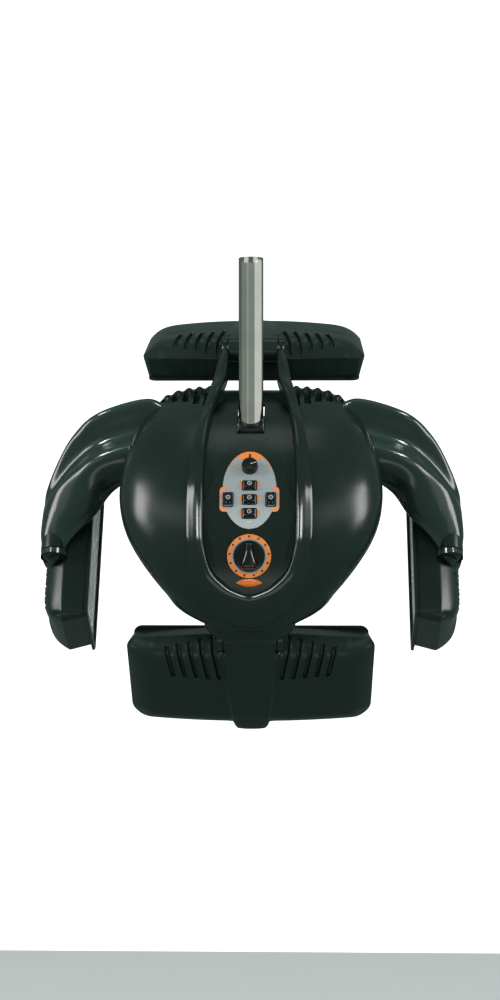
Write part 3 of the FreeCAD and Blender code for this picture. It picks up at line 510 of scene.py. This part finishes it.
def fin_relief(angle, x):
    """Depth (positive) of the vents' mouths and height (negative) of their hoods."""
    x = np.abs(x)
    relief = np.zeros(np.broadcast(angle, x).shape)
    for k in range(FIN_COUNT):
        middle = FIN_FIRST + FIN_PITCH * k
        off = np.abs(x - middle)
        start = 120.5 + 9.0 * (middle - FIN_FIRST) / (FIN_PITCH * 4)
        mouth = step(4.4, 2.6, off) * step(start, start + 1.0, angle) * step(138.5, 137.0, angle)
        hood = step(7.4, 0.6, off) * step(start - 2, start + 12, angle) * step(156, 146, angle)
        relief += 9.0 * mouth - 3.4 * hood * (1 - mouth)
    return relief


def make_body():
    angles = np.concatenate([np.linspace(36, SLOT_FROM, 150), np.linspace(SLOT_FROM, SLOT_TO, 46)[1:],
                             np.linspace(SLOT_TO, 158, 84)[1:]])
    inner = np.array([0, 6.2, 12.4, TUBE_SLOT])
    turn = np.linspace(0, math.pi / 2, 500)
    rows = []
    for angle in angles:
        w, n, top = float(dome_width(angle)), float(dome_square(angle)), float(dome_top(angle))
        x = w * np.sin(turn) ** (2 / n)
        r = BASE_R + (top - BASE_R) * np.cos(turn).clip(0) ** (2 / n)
        start = np.searchsorted(x, TUBE_SLOT)
        tail = np.vstack([[TUBE_SLOT, float(dome_height(angle, TUBE_SLOT))], np.stack([x, r], -1)[start:]])
        tail = even(tail, 122)
        head = np.stack([inner[:-1], dome_height(angle, inner[:-1])], -1)
        half = np.vstack([head, tail])
        rows.append(np.vstack([half[:0:-1] * (-1, 1), half]))
    rows = np.array(rows)
    beta = np.repeat(angles[:, None], rows.shape[1], 1)
    x, r = rows[..., 0], rows[..., 1]
    on_top = step(0.25, 0.8, (r - BASE_R) / (DOME_R - BASE_R))
    sunk = step(-5, 3, rib_middle(beta) - np.abs(x)) * step(44, 50, beta)
    r = r - FLOOR_DEPTH * sunk - fin_relief(beta, x) * on_top
    build = Build()
    build.grid(polar(beta, r, x))
    quads, middle = [], rows.shape[1] // 2
    for face in build.faces:
        row, col = divmod(face[0], rows.shape[1])
        in_slot = middle - 3 <= col < middle + 3 and SLOT_FROM - 1e-6 <= angles[row] < SLOT_TO - 1e-6
        if not in_slot:
            quads.append(face)
    build.faces, build.slots = quads, [0] * len(quads)
    piece("body_skin", build, from_head, [GLOSS], "head", ["body_shell"], sharp=50, solid=2.6)


def plate_half_width(v):
    return through(v, [-48, -44, -30, -12, 10, 43, 66, 76, 87, 127, 150, 162, 166],
                   [0, 16, 33, 43, 49.5, 58, 62.5, 63.5, 58, 43.5, 30, 14, 0])


def make_console():
    v = np.concatenate([-48 + 4 * np.linspace(0, 1, 12) ** 2, np.linspace(-44, 162, 90)[1:],
                        166 - 4 * np.linspace(1, 0, 10)[1:] ** 2])
    t = np.concatenate([[-1, -1], np.linspace(-1, 1, 61)[1:-1], [1, 1]])
    half = plate_half_width(v).clip(0.01)
    inset = np.where(np.abs(t) == 1, 0.0, 0.6)
    x = half[:, None] * t - np.sign(t) * np.minimum(inset, half[:, None] * 0.5)
    lift = np.where(np.arange(len(t)) % (len(t) - 1) == 0, -1.2, 0.25) * np.ones((len(v), 1))
    lift[[0, -1]] = -1.2
    build = Build()
    build.grid(console(x, np.repeat(v[:, None], len(t), 1), lift))
    piece("console_panel", build, from_head, [CONSOLE], "head", ["console_plate"], sharp=30)


def rounded_barrel(build, centre, axis, radius, start, end, fillet=2.2):
    """Round bar with rolled edges about an axis through centre, between two distances along it."""
    axis = np.asarray(axis, float) / np.linalg.norm(axis)
    side = np.cross(axis, (0.3, 0.5, 0.81))
    side /= np.linalg.norm(side)
    other = np.cross(axis, side)
    profile = [(start, 0.0)]
    profile += [(start + fillet * (1 - math.cos(math.radians(15 * k))),
                 radius - fillet + fillet * math.sin(math.radians(15 * k))) for k in range(7)]
    profile += [(end - fillet * (1 - math.cos(math.radians(90 - 15 * k))),
                 radius - fillet + fillet * math.sin(math.radians(90 - 15 * k))) for k in range(7)]
    profile.append((end, 0.0))
    turn = np.linspace(0, 2 * math.pi, 64, endpoint=False)
    ring = side * np.cos(turn)[:, None] + other * np.sin(turn)[:, None]
    rows = [np.asarray(centre, float) + axis * along + ring * r for along, r in profile]
    build.grid(np.array(rows), wrap_cols=True)


def hinge_cheeks(build, panel, fillet=2.2):
    """The pair of round cheeks that hold a panel's hinge pin."""
    frame_ = PANELS[panel][1]
    spot = np.array([0, HINGE_UP, HINGE_OUT]) @ frame_.turn.T + frame_.at
    axis = frame_.turn @ np.array([1.0, 0, 0])
    for side in (-1, 1):
        low, high = sorted((side * 36.6, side * 46.0))
        rounded_barrel(build, spot, axis, 18.7, low, high, fillet)


def make_rib():
    half = [(*polar(a, float(dome_height(a, x)), x), w, h, -2.0) for a, x, w, h in RIB_ON_DOME]
    half += [(x, y, z, w, 6.6, -9.0) for x, y, z, w in RIB_PRONG]
    other = [(-row[0], *row[1:]) for row in reversed(half)]
    angle, w, h = RIB_FRONT
    front = (*polar(angle, float(dome_height(angle, 0)), 0.0), w, h, -2.0)
    line = spline(other + [front] + half, 30 * len(half) // 2)
    across = spline(RIB_SECTION, 40)
    along = np.gradient(line[:, :3], axis=0)
    along /= np.linalg.norm(along, axis=1, keepdims=True)
    tilt = np.radians(8 * (np.clip(np.abs(line[:, 0]), 0, 75) / 75) ** 1.5)
    up = line[:, :3] * (0, 1, 1)
    up /= np.linalg.norm(up, axis=1, keepdims=True)
    up = up * np.cos(tilt)[:, None] + np.stack([np.copysign(np.sin(tilt), line[:, 0])] + [0 * tilt] * 2, -1)
    out = np.cross(along, up)
    out /= np.linalg.norm(out, axis=1, keepdims=True)
    up = np.cross(out, along)
    rings = []
    for p, u, o in zip(line, up, out):
        w, h, foot = p[3:]
        ring = [p[:3] + o * (a * w) + u * (foot if n < 0 else n * h) for a, n in across]
        ring += [p[:3] + o * (a * w) + u * (foot - 1.5 * (1 - a * a)) for a in (0.6, 0, -0.6)]
        rings.append(ring)
    build = Build()
    build.tube(rings)
    hinge_cheeks(build, "upper")
    rib = piece("rib_band", build, from_head, [GLOSS_RIB_PAINTED_SHADE], "head", ["rib_frame"], sharp=40)
    rib_light.objects.link(rib)


def make_neck():
    stations = [(41, 60, 200, 239), (38, 62, 196, 241), (36, 62, 192, 241), (34, 56, 196, 240.5),
                (32.6, 49, 203, 239.5), (31.6, 46.2, 208, 238)]
    rows = spline(stations, 40)
    t = np.linspace(0, 2 * math.pi, 72, endpoint=False)
    c, s = np.cos(t), np.sin(t)
    rings = []
    for angle, w, low, high in rows:
        x = w * np.sign(c) * np.abs(c) ** 0.5
        r = (low + high) / 2 + (high - low) / 2 * np.sign(s) * np.abs(s) ** 0.55
        rings.append(polar(angle, r, x))
    build = Build()
    build.tube(rings)
    hinge_cheeks(build, "lower")
    piece("neck_skin", build, from_head, [GLOSS], "head", ["neck_arm"], sharp=40)


# Left arm: (x, z, lean) of each section's plane and its outline (y, height), root to hinge.
ARM = [
    (-118, 175, 0, [(140, 8), (110, 8), (80, 26), (66, 18), (60, 6), (66, -4), (136, -30), (150, -20)]),
    (-150, 165, 4, [(146, 30), (112, 14), (78, 25), (56, 14), (44, 4), (60, -6), (150, -22), (166, -8)]),
    (-204, 150, 17, [(126, 44), (92, 26), (59, 33), (38, 16), (29, -8), (40, -20), (136, -20), (150, 4)]),
    (-231, 138, 40, [(106, 38), (73, 26), (41, 32), (12, 18), (-4, 0), (4, -16), (114, -16), (128, 2)]),
    (-254, 128, 60, [(72, 30), (46, 24), (20, 32), (-14, 22), (-32, 4), (-26, -6), (88, -6), (98, 2)]),
    (-271.5, 117, 80, [(38, 24), (19, 25), (0, 27), (-34, 26), (-58, 14), (-60, -4), (36, -4), (38, 12)]),
    (-284, 99, 94, [(36, 13), (18, 14), (0, 15), (-38, 15), (-63, 9), (-66, -6), (32, -6), (35, 6)]),
]


def make_arms():
    table = np.array([[(y, h) for y, h in outline] for _, _, _, outline in ARM], float)
    planes = np.array([plane[:3] for plane in ARM], float)
    outlines = spline(table, 80)
    planes = spline(planes, 80)
    rings = []
    for (x, z, lean), outline in zip(planes, outlines):
        ring = spline(outline, 96, closed=True)
        a = math.radians(lean)
        rings.append(np.stack([x - ring[:, 1] * math.sin(a), ring[:, 0], z + ring[:, 1] * math.cos(a)], -1))
    rings = np.array(rings)
    for name, side in (("left", 1), ("right", -1)):
        build = Build()
        build.tube(rings * (side, 1, 1), flip=side < 0)
        hinge_cheeks(build, name, 8.5)
        arm = piece(name + "_arm_skin", build, from_head, [GLOSS_ARM_PAINTED_LIGHT], "head",
                    [name + "_arm_cover", name + "_arm_tray"], sharp=45)
        arm_light.objects.link(arm)


# ------------------------------------------------------------------ panels


def round_corner(x, y, a, b, inset=0.0):
    """Takes points of the rectangle a by b (half sizes) to the panel's outline set in by inset: sharper
    corners by the hinge, rounder ones far from it, a slight taper, and bowed long edges."""
    ux, uy = x / a, y / b
    a, b = a - inset, b - inset
    x, y = ux * a, uy * b
    r = np.maximum(np.where(uy < 0, 27.0, 15.0) - inset, 5.0)
    p, q = np.abs(x) - (a - r), np.abs(y) - (b - r)
    inside = (p > 0) & (q > 0)
    length = np.hypot(p, q)
    scale = np.where(inside, np.maximum(p, q) / np.where(length == 0, 1, length), 1.0)
    x2 = np.where(inside, np.sign(x) * (a - r + p * scale), x)
    y2 = np.where(inside, np.sign(y) * (b - r + q * scale), y)
    x2 = x2 * (1 - 0.03 * (1 - uy) / 2)
    y2 = y2 * (1 - 0.11 * ux**2) - 2.5 * step(38, 8, np.abs(x)) * step(-0.75, -1, uy)
    return x2, y2


def swell(distance, reach, power):
    return 1 - (1 - np.clip(distance / reach, 0, 1)) ** power


SPINE = [(-76, 26, 16), (-62, 27.5, 23), (-46, 29, 28.5), (-20, 32.5, 31.5), (0, 35, 33), (30, 39, 34),
         (52, 40, 34), (60, 37, 33.6), (76, 36.2, 33)]


def panel_surface(X, Y, a, b, louvres, crown):
    """Outer surface of a panel over its square plan coordinates: (x, y, z)."""
    ends = swell(a - np.abs(X), 62, 4.2)
    if a > 140:
        ends = 0.62 * ends + 0.38 * swell(a - np.abs(X), 150, 2.0)
    rise = crown * ends * swell(b - np.abs(Y), 52, 4.2)
    half = np.interp(Y, [s[0] for s in SPINE], [s[1] for s in SPINE])
    crest = np.interp(Y, [s[0] for s in SPINE], [s[2] for s in SPINE])
    crest = crest - 1.6 * (X / half) ** 2
    on = step(half + 0.6, half - 4.2, np.abs(X))
    z = rise + (np.maximum(crest, rise) - rise) * on
    x, y = round_corner(X, Y, a, b)
    first, pitch, count, middle, length, shear, fade = louvres
    last = first + pitch * count
    zone = step(first - 16, first - 6, np.abs(X)) * step(last + 12, last, np.abs(X))
    zone = zone * step(middle - length / 2 - 16, middle - length / 2, Y)
    zone = zone * step(middle + length / 2 + 14, middle + length / 2, Y)
    for k in range(count):
        off = np.abs(np.abs(X) - (first + pitch * k))
        end = length / 2 - fade * k
        along = np.abs(Y - middle + fade * k * 0.4) - end
        mouth = step(3.5, 2.0, np.hypot(off, along.clip(0)))
        brow = step(6.5, 3.4, off) * step(2.0, 2.8, off) * step(4, -4, along)
        z = z - 5.0 * mouth + 0.7 * brow
    x = x + np.sign(X) * shear * (Y - middle) * zone
    return np.stack([x, y, z], -1)


def axis_columns(edges):
    """Grid lines from (start, end, spacing) runs, mirrored about zero."""
    right = [0.0]
    for start, end, spacing in edges:
        n = max(1, round((end - start) / spacing))
        right += list(np.linspace(start, end, n + 1)[1:])
    right = np.array(right)
    return np.concatenate([-right[:0:-1], right])


def panel_skin(name, width, place, louvres, crown):
    a, b = width / 2, PANEL_H / 2
    fine_to = min(a - 22, 122)
    columns = axis_columns([(0, 24, 4), (24, fine_to, 1.15), (fine_to, a - 8, 2.6), (a - 8, a, 0.9)])
    rows = np.concatenate([np.linspace(-b, -b + 8, 9)[:-1], np.linspace(-b + 8, b - 8, 76),
                           np.linspace(b - 8, b, 9)[1:]])
    X, Y = np.meshgrid(columns, rows)
    build = Build()
    top = panel_surface(X, Y, a, b, louvres, crown)
    build.grid(top)
    n, m = X.shape
    edge = [(0, j) for j in range(m)] + [(i, m - 1) for i in range(1, n)]
    edge += [(n - 1, j) for j in range(m - 2, -1, -1)] + [(i, 0) for i in range(n - 2, 0, -1)]
    ei, ej = np.array(edge).T
    loop = top[ei, ej]
    edge_x, edge_y = X[ei, ej], Y[ei, ej]
    rings = [loop]
    for depth, inset in ((0.6, 0.0), (3, 0.3), (8, 1.6), (16, 3.8), (24, 5.9), (30.8, 7.7), (31.7, 8.1),
                         (32, 8.8), (32, 10.6), (31, 10.9), (10, 9.6)):
        x2, y2 = round_corner(edge_x, edge_y, a, b, inset)
        rings.append(np.stack([x2, y2, np.where(depth > 0.5, -depth, loop[:, 2])], -1))
    x2, y2 = round_corner(edge_x, edge_y, a, b, 14.0)
    rings.append(np.stack([x2, y2, np.full(len(x2), -6.0)], -1))
    build.grid(np.array(rings), wrap_cols=True)
    rounded_barrel(build, (0, HINGE_UP, HINGE_OUT), (1, 0, 0), BARREL_R, -36.2, 36.2, 1.2)
    piece(name + "_panel_skin", build, place.world, [PANEL], name + "_panel",
          [name + "_panel_shell"], sharp=40)


BEZEL_CORNER = 12.0
WIRE_PITCH, WIRE_R = 5.0, 0.55


def bezel_ring(name, width, height, rim, level, thick, to_world, body, node):
    """Rounded frame of a given rim width that holds a guard."""
    foot = level - thick
    profile = [(0.0, level + 0.1), (0.0, foot + 1.2), (0.4, foot + 0.3), (1.2, foot), (rim - 1.4, foot),
               (rim - 0.5, foot + 0.3), (rim, foot + 1.2), (rim, level + 0.1)]
    rings = []
    for inset, z in profile:
        outline = rounded_outline(width - 2 * inset, height - 2 * inset, max(BEZEL_CORNER - inset, 3.5))
        rings.append(np.column_stack([outline, np.full(len(outline), z)]))
    build = Build()
    build.grid(np.array(rings), wrap_rows=True, wrap_cols=True)
    piece(name, build, to_world, [BEZEL], body, [node], sharp=35)


def mesh_guard(name, width, height, level, to_world, body, node):
    """Woven wire guard: wires in both directions that pass over and under each other."""
    build = Build()
    nx, ny = int(width // WIRE_PITCH), int(height // WIRE_PITCH)
    px, py = width / nx, height / ny
    for along_x in (True, False):
        count, length, other = (ny, width, py) if along_x else (nx, height, px)
        cells = nx if along_x else ny
        t = np.linspace(0, cells, 2 * cells + 1)
        for k in range(1, count):
            sway = 0.6 * WIRE_R * (1 if (k % 2) == along_x else -1) * np.cos(math.pi * t)
            s = t / cells * length - length / 2
            place = other * k - count * other / 2
            rings = []
            for dy, dz in ((WIRE_R, 0), (0, WIRE_R), (-WIRE_R, 0), (0, -WIRE_R)):
                p, q = (s, np.full(len(s), place + dy)) if along_x else (np.full(len(s), place + dy), s)
                rings.append(np.stack([p, q, level + sway + dz], -1))
            build.tube(np.array(rings).transpose(1, 0, 2))
    for inset_y in (-height / 2, height / 2):
        bar = [[(x, inset_y + dy, level + dz) for dy, dz in ((1, 0), (0, 1), (-1, 0), (0, -1))]
               for x in (-width / 2, width / 2)]
        build.tube(bar)
    for inset_x in (-width / 2, width / 2):
        bar = [[(inset_x + dx, y, level + dz) for dx, dz in ((1, 0), (0, 1), (-1, 0), (0, -1))]
               for y in (-height / 2, height / 2)]
        build.tube(bar)
    guard = piece(name, build, to_world, [MESH], body, [node], sharp=60, weld=False)
    guard_light.objects.link(guard)


# Louvres: first slot, pitch, count, middle of the slots' height, their length, slant, shortening per slot.
LONG_LOUVRES = (48.0, 16.2, 5, 42.0, 52.0, 0.18, 1.5)
SIDE_LOUVRES = (42.0, 14.5, 5, 30.0, 54.0, 0.18, 1.5)
CROWN = {"lower": 26.0, "upper": 29.0, "left": 29.0, "right": 29.0}
LOUVRES = {"lower": LONG_LOUVRES, "upper": LONG_LOUVRES, "left": SIDE_LOUVRES, "right": SIDE_LOUVRES}


def make_panels():
    for name, (width, place) in PANELS.items():
        panel_skin(name, width, place, LOUVRES[name], CROWN[name])
        rim_w, rim_h = width - 2 * TAPER, PANEL_H - 2 * TAPER
        bezel_ring(name + "_bezel_ring", rim_w, rim_h, 9, -PANEL_DEPTH - 0.05, 4.0, place.world,
                   name + "_panel", name + "_panel_bezel")
        mesh_guard(name + "_mesh", width - 31, PANEL_H - 31, -PANEL_DEPTH + 0.9, place.world, name + "_panel",
                   name + "_panel_grille")
    bezel_ring("centre_bezel_ring", 249, 103, 8, 165.0, 5.0, from_head, "head", "centre_bezel")
    mesh_guard("centre_mesh", 228, 82, 165.9, from_head, "head", "centre_grille")


# ------------------------------------------------------------------ tube


def make_tube():
    outer, inner, low = 17.5, 15.5, -233.0
    profile = [(inner, low), (inner, -0.5), (inner + 0.4, -0.1), (inner + 0.9, 0.0), (outer - 0.6, 0.0),
               (outer - 0.15, -0.2), (outer, -0.8), (outer, low)]
    turn = np.linspace(0, 2 * math.pi, 128, endpoint=False)
    rows = []
    for (r0, z0), (r1, z1) in zip(profile, profile[1:]):
        n = 24 if abs(z1 - z0) > 100 else 1
        for k in range(n):
            r, z = r0 + (r1 - r0) * k / n, z0 + (z1 - z0) * k / n
            rows.append(np.stack([r * np.cos(turn), r * np.sin(turn), np.full(128, z)], -1))
    rows.append(np.stack([outer * np.cos(turn), outer * np.sin(turn), np.full(128, low)], -1))
    rows = np.array(rows)
    mouth = rows[..., 2] < low + 1e-6
    rows[..., 2] += mouth * 9.0 * (rows[..., 0] / outer) ** 2
    build = Build()
    build.grid(rows, wrap_cols=True, wrap_rows=True)
    tube = piece("stand_tube", build, lambda p: p / 1000.0, [STEEL], "stand", ["support_tube"],
                 sharp=35)
    tube_light.objects.link(tube)
    not_on_tube.objects.link(tube)
    not_on_tube.collection_objects[0].light_linking.link_state = "EXCLUDE"


def make_knuckle():
    build = Build()
    rounded_barrel(build, (0, 0, -241), (1, 0, 0), 12.6, -17, 17, 2.5)
    rounded_barrel(build, (0, 0, -241), (0, 0, 1), 15.3, 4, 46, 1.0)
    piece("knuckle_joint", build, lambda p: p / 1000.0, [SATIN], "stand", ["tilt_knuckle"])


# ------------------------------------------------------------------ controls


def revolved(profile, turns=72, ripple=None):
    """Rows of points of a profile (radius, height) turned about z."""
    turn = np.linspace(0, 2 * math.pi, turns, endpoint=False)
    rows = []
    for r, z in profile:
        rr = np.full(turns, float(r))
        if ripple is not None:
            rr = rr - ripple(turn, z) * (r > 0.1)
        rows.append(np.stack([rr * np.cos(turn), rr * np.sin(turn), np.full(turns, float(z))], -1))
    return np.array(rows)


def disc(build, centre, radius, level, slot, turns, inner=0.0):
    """Flat disc, or ring with an inner radius, at a level in a control's own frame."""
    build.grid(revolved([(inner, level), (radius, level)], turns) + (*centre, 0.0), wrap_cols=True, slot=slot)


def on_console(angle, lift=0.0, x=0.0, turned=False):
    """Takes points of a control's own frame (z outwards, y up the console) to the world."""
    turn, at = dome_frame(angle, CONSOLE_R + lift, x)
    if turned:
        turn = turn @ rot_z(90)
    return lambda p: from_head(np.asarray(p, float) @ turn.T + at)


CONTROLS = {"top": (0, 84.3, False), "centre": (0, 79.5, False), "bottom": (0, 74.9, False),
            "left": (-29, 79.5, True), "right": (29, 79.5, True)}
TIMER, REGULATOR, PILOT = 61.3, 90.8, 52.8
POINTER_ANGLE = 14
ROCKER_LENGTH, ROCKER_WIDTH = 21.0, 15.0
CAP_HALF_LENGTH, CAP_HALF_WIDTH = 7.7, 5.6


def label_half_width(v):
    return 36.7 * np.sqrt(np.clip(1 - ((v - 94.5) / 52.5) ** 2, 0, 1))


def wing_half_width(v):
    """Half-width of the label across its two wings, with rounded corners."""
    corner = np.clip((np.abs(v - 82) - 11) / 6, 0, 1)
    return 35 + 5.5 * np.sqrt(1 - corner**2)


def make_label():
    build = Build()
    lift = 1.1

    def patch(x0, x1, v0, v1, slot, rise=0.12):
        v = np.linspace(v0, v1, 9)[:, None]
        build.grid(console(np.linspace(x0, x1, 9)[None, :], v, lift + rise), slot=slot)

    for v0, v1, wings in ((42, 65, False), (65, 99, True), (99, 147, False)):
        v = np.linspace(v0, v1, 34)
        half = wing_half_width(v) if wings else label_half_width(v)
        t = np.linspace(-1, 1, 33)
        build.grid(console(half[:, None] * t, v[:, None], lift))
        for side in (-1, 1):
            build.grid(np.stack([console(side * half, v, lift), console(side * half, v, 0.1)], 0))
    cap_v = np.linspace(136.5, 146.6, 14)[:, None]
    cap_half = np.minimum(label_half_width(cap_v) * 0.985, 16.5)
    build.grid(console(cap_half * np.linspace(-1, 1, 21), cap_v, lift + 0.12), slot=1)
    patch(-1.5, 1.5, 137.2, 143.6, 3, 0.2)
    rim_v = np.linspace(122, 146.9, 24)
    for side in (-1, 1):
        rows = [console(side * label_half_width(rim_v) * k, rim_v, lift + 0.1) for k in (0.955, 0.995)]
        build.grid(np.array(rows), slot=1)
        v = np.linspace(65.4, 98.6, 40)
        half = wing_half_width(v)
        reach = np.where(np.abs(v - 82) > 11.8, 8.5, 1.4)
        build.grid(np.array([console(side * (half - 0.2), v, lift + 0.12),
                             console(side * (half - reach), v, lift + 0.12)]), slot=1)
    for v0 in (100.5, 81.3, 62.9):
        x = np.linspace(10.2, 14.6, 16)
        half = 6.6 * np.sqrt(1 - (x / 14.6) ** 2)
        for side in (-1, 1):
            rows = [console(side * x, v0 + 1.4 + k * half, lift + 0.12) for k in (-1, 1)]
            build.grid(np.array(rows), slot=1)
    patch(-17.0, -9.5, 124.4, 126.2, 1)
    for x0 in (-2.6, -0.7, 1.2):
        patch(x0, x0 + 1.3, 50.6, 52.2, 2)
    label_light.objects.link(piece("label_plate", build, from_head, [GREY, ORANGE, WHITE, INK], "head",
                                   ["control_label"], sharp=30))


def make_timer():
    build = Build()
    build.grid(revolved([(29.6, -1.0), (29.6, 1.1), (29.2, 1.5), (23.6, 1.5)]), wrap_cols=True, slot=1)
    build.grid(revolved([(23.6, 1.5), (21.6, 1.5)]), wrap_cols=True, slot=0)
    build.grid(revolved([(21.6, 1.5), (20.5, 1.2), (5.6, 1.2), (5.6, -1.0)]), wrap_cols=True, slot=2)
    for k in range(13):
        a = math.radians(90 + 360 * k / 13)
        disc(build, (26.6 * math.cos(a), 26.6 * math.sin(a)), 1.6, 1.62, 2, 16)
    label_light.objects.link(piece("timer_face", build, on_console(TIMER), [GREY, ORANGE, INK], "head",
                                   ["timer_dial"], sharp=30))
    knob = Build()

    def flutes(turn, z):
        return 0.22 * (np.cos(48 * turn) > 0.2) * (0.6 < z < 3.4)

    skirt = [(0, 0.02), (20.6, 0.0), (21, 0.4), (21, 3.0), (20.6, 3.7), (19.4, 4.1), (15, 4.4), (0, 4.5)]
    knob.grid(revolved(skirt, 144, flutes), wrap_cols=True)
    rings = []
    for share, (half_top, half_low, reach_top, reach_low) in (
            (0.0, (5.4, 12.4, 17.6, 18.4)), (0.12, (5.1, 12.0, 17.3, 18.1)), (0.8, (3.6, 9.6, 16.4, 16.6)),
            (0.93, (3.1, 8.8, 15.9, 15.9)), (1.0, (1.8, 7.0, 14.6, 14.2))):
        z = 4.2 + 12.6 * share
        outline = [(-half_low, -reach_low + 3.5), (-half_low + 3, -reach_low), (half_low - 3, -reach_low),
                   (half_low, -reach_low + 3.5), (half_top + 1.2, 4), (half_top, reach_top - 2),
                   (half_top - 1.4, reach_top), (-half_top + 1.4, reach_top), (-half_top, reach_top - 2),
                   (-half_top - 1.2, 4)]
        ring = spline(outline, 60, closed=True)
        rings.append(np.column_stack([ring, np.full(60, z)]))
    knob.tube(rings)
    rounded_barrel(knob, (0, 0, 0), (0, 0, 1), 4.75, -13.9, 0.2, 0.4)
    piece("timer_grip", knob, on_console(TIMER, 1.6), [KNOB], "timer_knob", ["timer_knob"])


def make_regulator():
    build = Build()

    def flutes(turn, z):
        return 0.5 * (0.5 - 0.5 * np.cos(22 * turn)) * (1.2 < z < 9.0)

    profile = [(0, 0.02), (11.2, 0), (11.5, 0.4), (11.4, 1.0), (11.3, 1.4), (10.8, 8.8), (10.3, 9.6),
               (9.3, 10.1), (7.6, 10.1), (6.6, 9.7), (0, 9.6)]
    build.grid(revolved(profile, 176, flutes), wrap_cols=True)
    a = math.radians(POINTER_ANGLE)
    c, s = math.cos(a), math.sin(a)
    line = np.array([[(-0.6, 1.0, 9.8), (0.6, 1.0, 9.8)], [(-0.6, 6.4, 9.85), (0.6, 6.4, 9.85)],
                     [(-0.6, 7.4, 10.2), (0.6, 7.4, 10.2)], [(-0.6, 9.4, 10.2), (0.6, 9.4, 10.2)]])
    line = line @ np.array([[s, -c, 0], [c, s, 0], [0, 0, 1]])
    build.grid(line, slot=1)
    rounded_barrel(build, (0, 0, 0), (0, 0, 1), 3.75, -13.9, 0.2, 0.4)
    piece("regulator_cap", build, on_console(REGULATOR, 1.6), [KNOB, WHITE], "regulator_knob",
          ["regulator_knob"], sharp=30)


def make_lens():
    build = Build()
    length, width = 36.0, 11.6
    radius = (length**2 / 4 + width**2 / 4) / width
    x = np.linspace(-length / 2, length / 2, 61)
    half = np.sqrt(radius**2 - x**2) - (radius - width / 2)
    t = np.concatenate([[-1.0], np.linspace(-1, 1, 21), [1.0]])
    rise = 1.7 * (1 - np.linspace(-1, 1, 21) ** 2) ** 0.5
    z = np.concatenate([[-1.0], rise, [-1.0]])
    rows = np.stack([np.repeat(x[:, None], len(t), 1), half[:, None] * t,
                     np.where(z < 0, -1.0, 0.4 + z * (half[:, None] / (width / 2)) ** 0.5)], -1)
    build.grid(rows)
    label_light.objects.link(piece("pilot_window", build, on_console(PILOT), [LAMP], "head",
                                   ["pilot_lens"], sharp=60))


def make_rockers():
    housings = Build()
    for name, (x, angle, turned) in CONTROLS.items():
        rings = []
        for inset, z in ((0.0, 0.4), (0.0, 2.0), (0.2, 2.5), (0.4, 2.7), (0.7, 2.7), (0.9, 2.5), (1.0, 2.1),
                         (1.0, 1.7), (1.5, 1.5), (1.5, -6.0)):
            outline = rounded_outline(ROCKER_LENGTH - 2 * inset, ROCKER_WIDTH - 2 * inset,
                                      max(2.6 - inset, 0.8), 6, 4)
            rings.append(np.column_stack([outline, np.full(len(outline), z)]))
        turn, at = dome_frame(angle, CONSOLE_R, x)
        if turned:
            turn = turn @ rot_z(90)
        one = Build()
        one.grid(np.array(rings), wrap_cols=True)
        housings.merge(one, turn, at)

        build = Build()
        xs = np.linspace(-CAP_HALF_LENGTH, CAP_HALF_LENGTH, 31)
        top = 4.4 + 0.45 * (np.abs(xs) / CAP_HALF_LENGTH) ** 2
        top[[0, -1]] -= 0.5
        ys = np.array([0, 0, 0.4, 1.0, 3.4, CAP_HALF_WIDTH]) - CAP_HALF_WIDTH
        ys = np.concatenate([ys, -ys[-2::-1]])
        drop = np.array([0.7, 0.7, 0.2, 0, 0, 0, 0, 0, 0.2, 0.7, 0.7])
        z = top[:, None] - drop[None, :]
        z[:, [0, -1]] = -1.5
        grid = np.stack([np.repeat(xs[:, None], len(ys), 1), np.repeat(ys[None, :], len(xs), 0), z], -1)
        build.grid(grid)
        for end in (0, -1):
            low = grid[end].copy()
            low[:, 2] = -1.5
            build.grid(np.stack([grid[end], low], 0))
        spot = (2.4, 0.0) if turned else (0.0, 2.2)
        disc(build, spot, 3.1, 4.66, 1, 28, inner=2.1)
        disc(build, spot, 0.7, 4.66, 1, 12)
        for way in (-1, 1):
            mark = (-5.4, way * 2.6) if turned else (way * 5.6, -2.4)
            bar = np.array([[(mark[0] - 0.9, mark[1] - 0.3, 4.75), (mark[0] + 0.9, mark[1] - 0.3, 4.75)],
                            [(mark[0] - 0.9, mark[1] + 0.3, 4.75), (mark[0] + 0.9, mark[1] + 0.3, 4.75)]])
            build.grid(bar, slot=2)
        piece("rocker_cap_" + name, build, on_console(angle, 0.0, x, turned), [SWITCH, WHITE, GREY],
              "rocker_" + name, ["rocker_" + name])
    piece("switch_frames", housings, from_head, [SWITCH], "head", ["switch_housings"])


# ------------------------------------------------------------------ finishes of the CAD nodes that stay

FINISH = {
    "body_base": SATIN, "timer_unit": SATIN, "regulator_unit": ZINC, "chassis": ZINC,
    "tilt_pin": ZINC, "tilt_washers": ZINC, "tilt_nut": ZINC, "frame_screws": ZINC,
    "centre_reflector": REFLECT, "centre_heaters": QUARTZ,
}
for side_ in PANELS:
    FINISH[side_ + "_panel_reflector"] = REFLECT
    FINISH[side_ + "_panel_heaters"] = QUARTZ
    FINISH[side_ + "_hinge_pin"] = ZINC
for node, material in FINISH.items():
    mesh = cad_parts[node].data
    mesh.materials.clear()
    mesh.materials.append(material)

make_body()
make_console()
make_rib()
make_neck()
make_arms()
make_panels()
make_tube()
make_knuckle()
make_label()
make_timer()
make_regulator()
make_lens()
make_rockers()
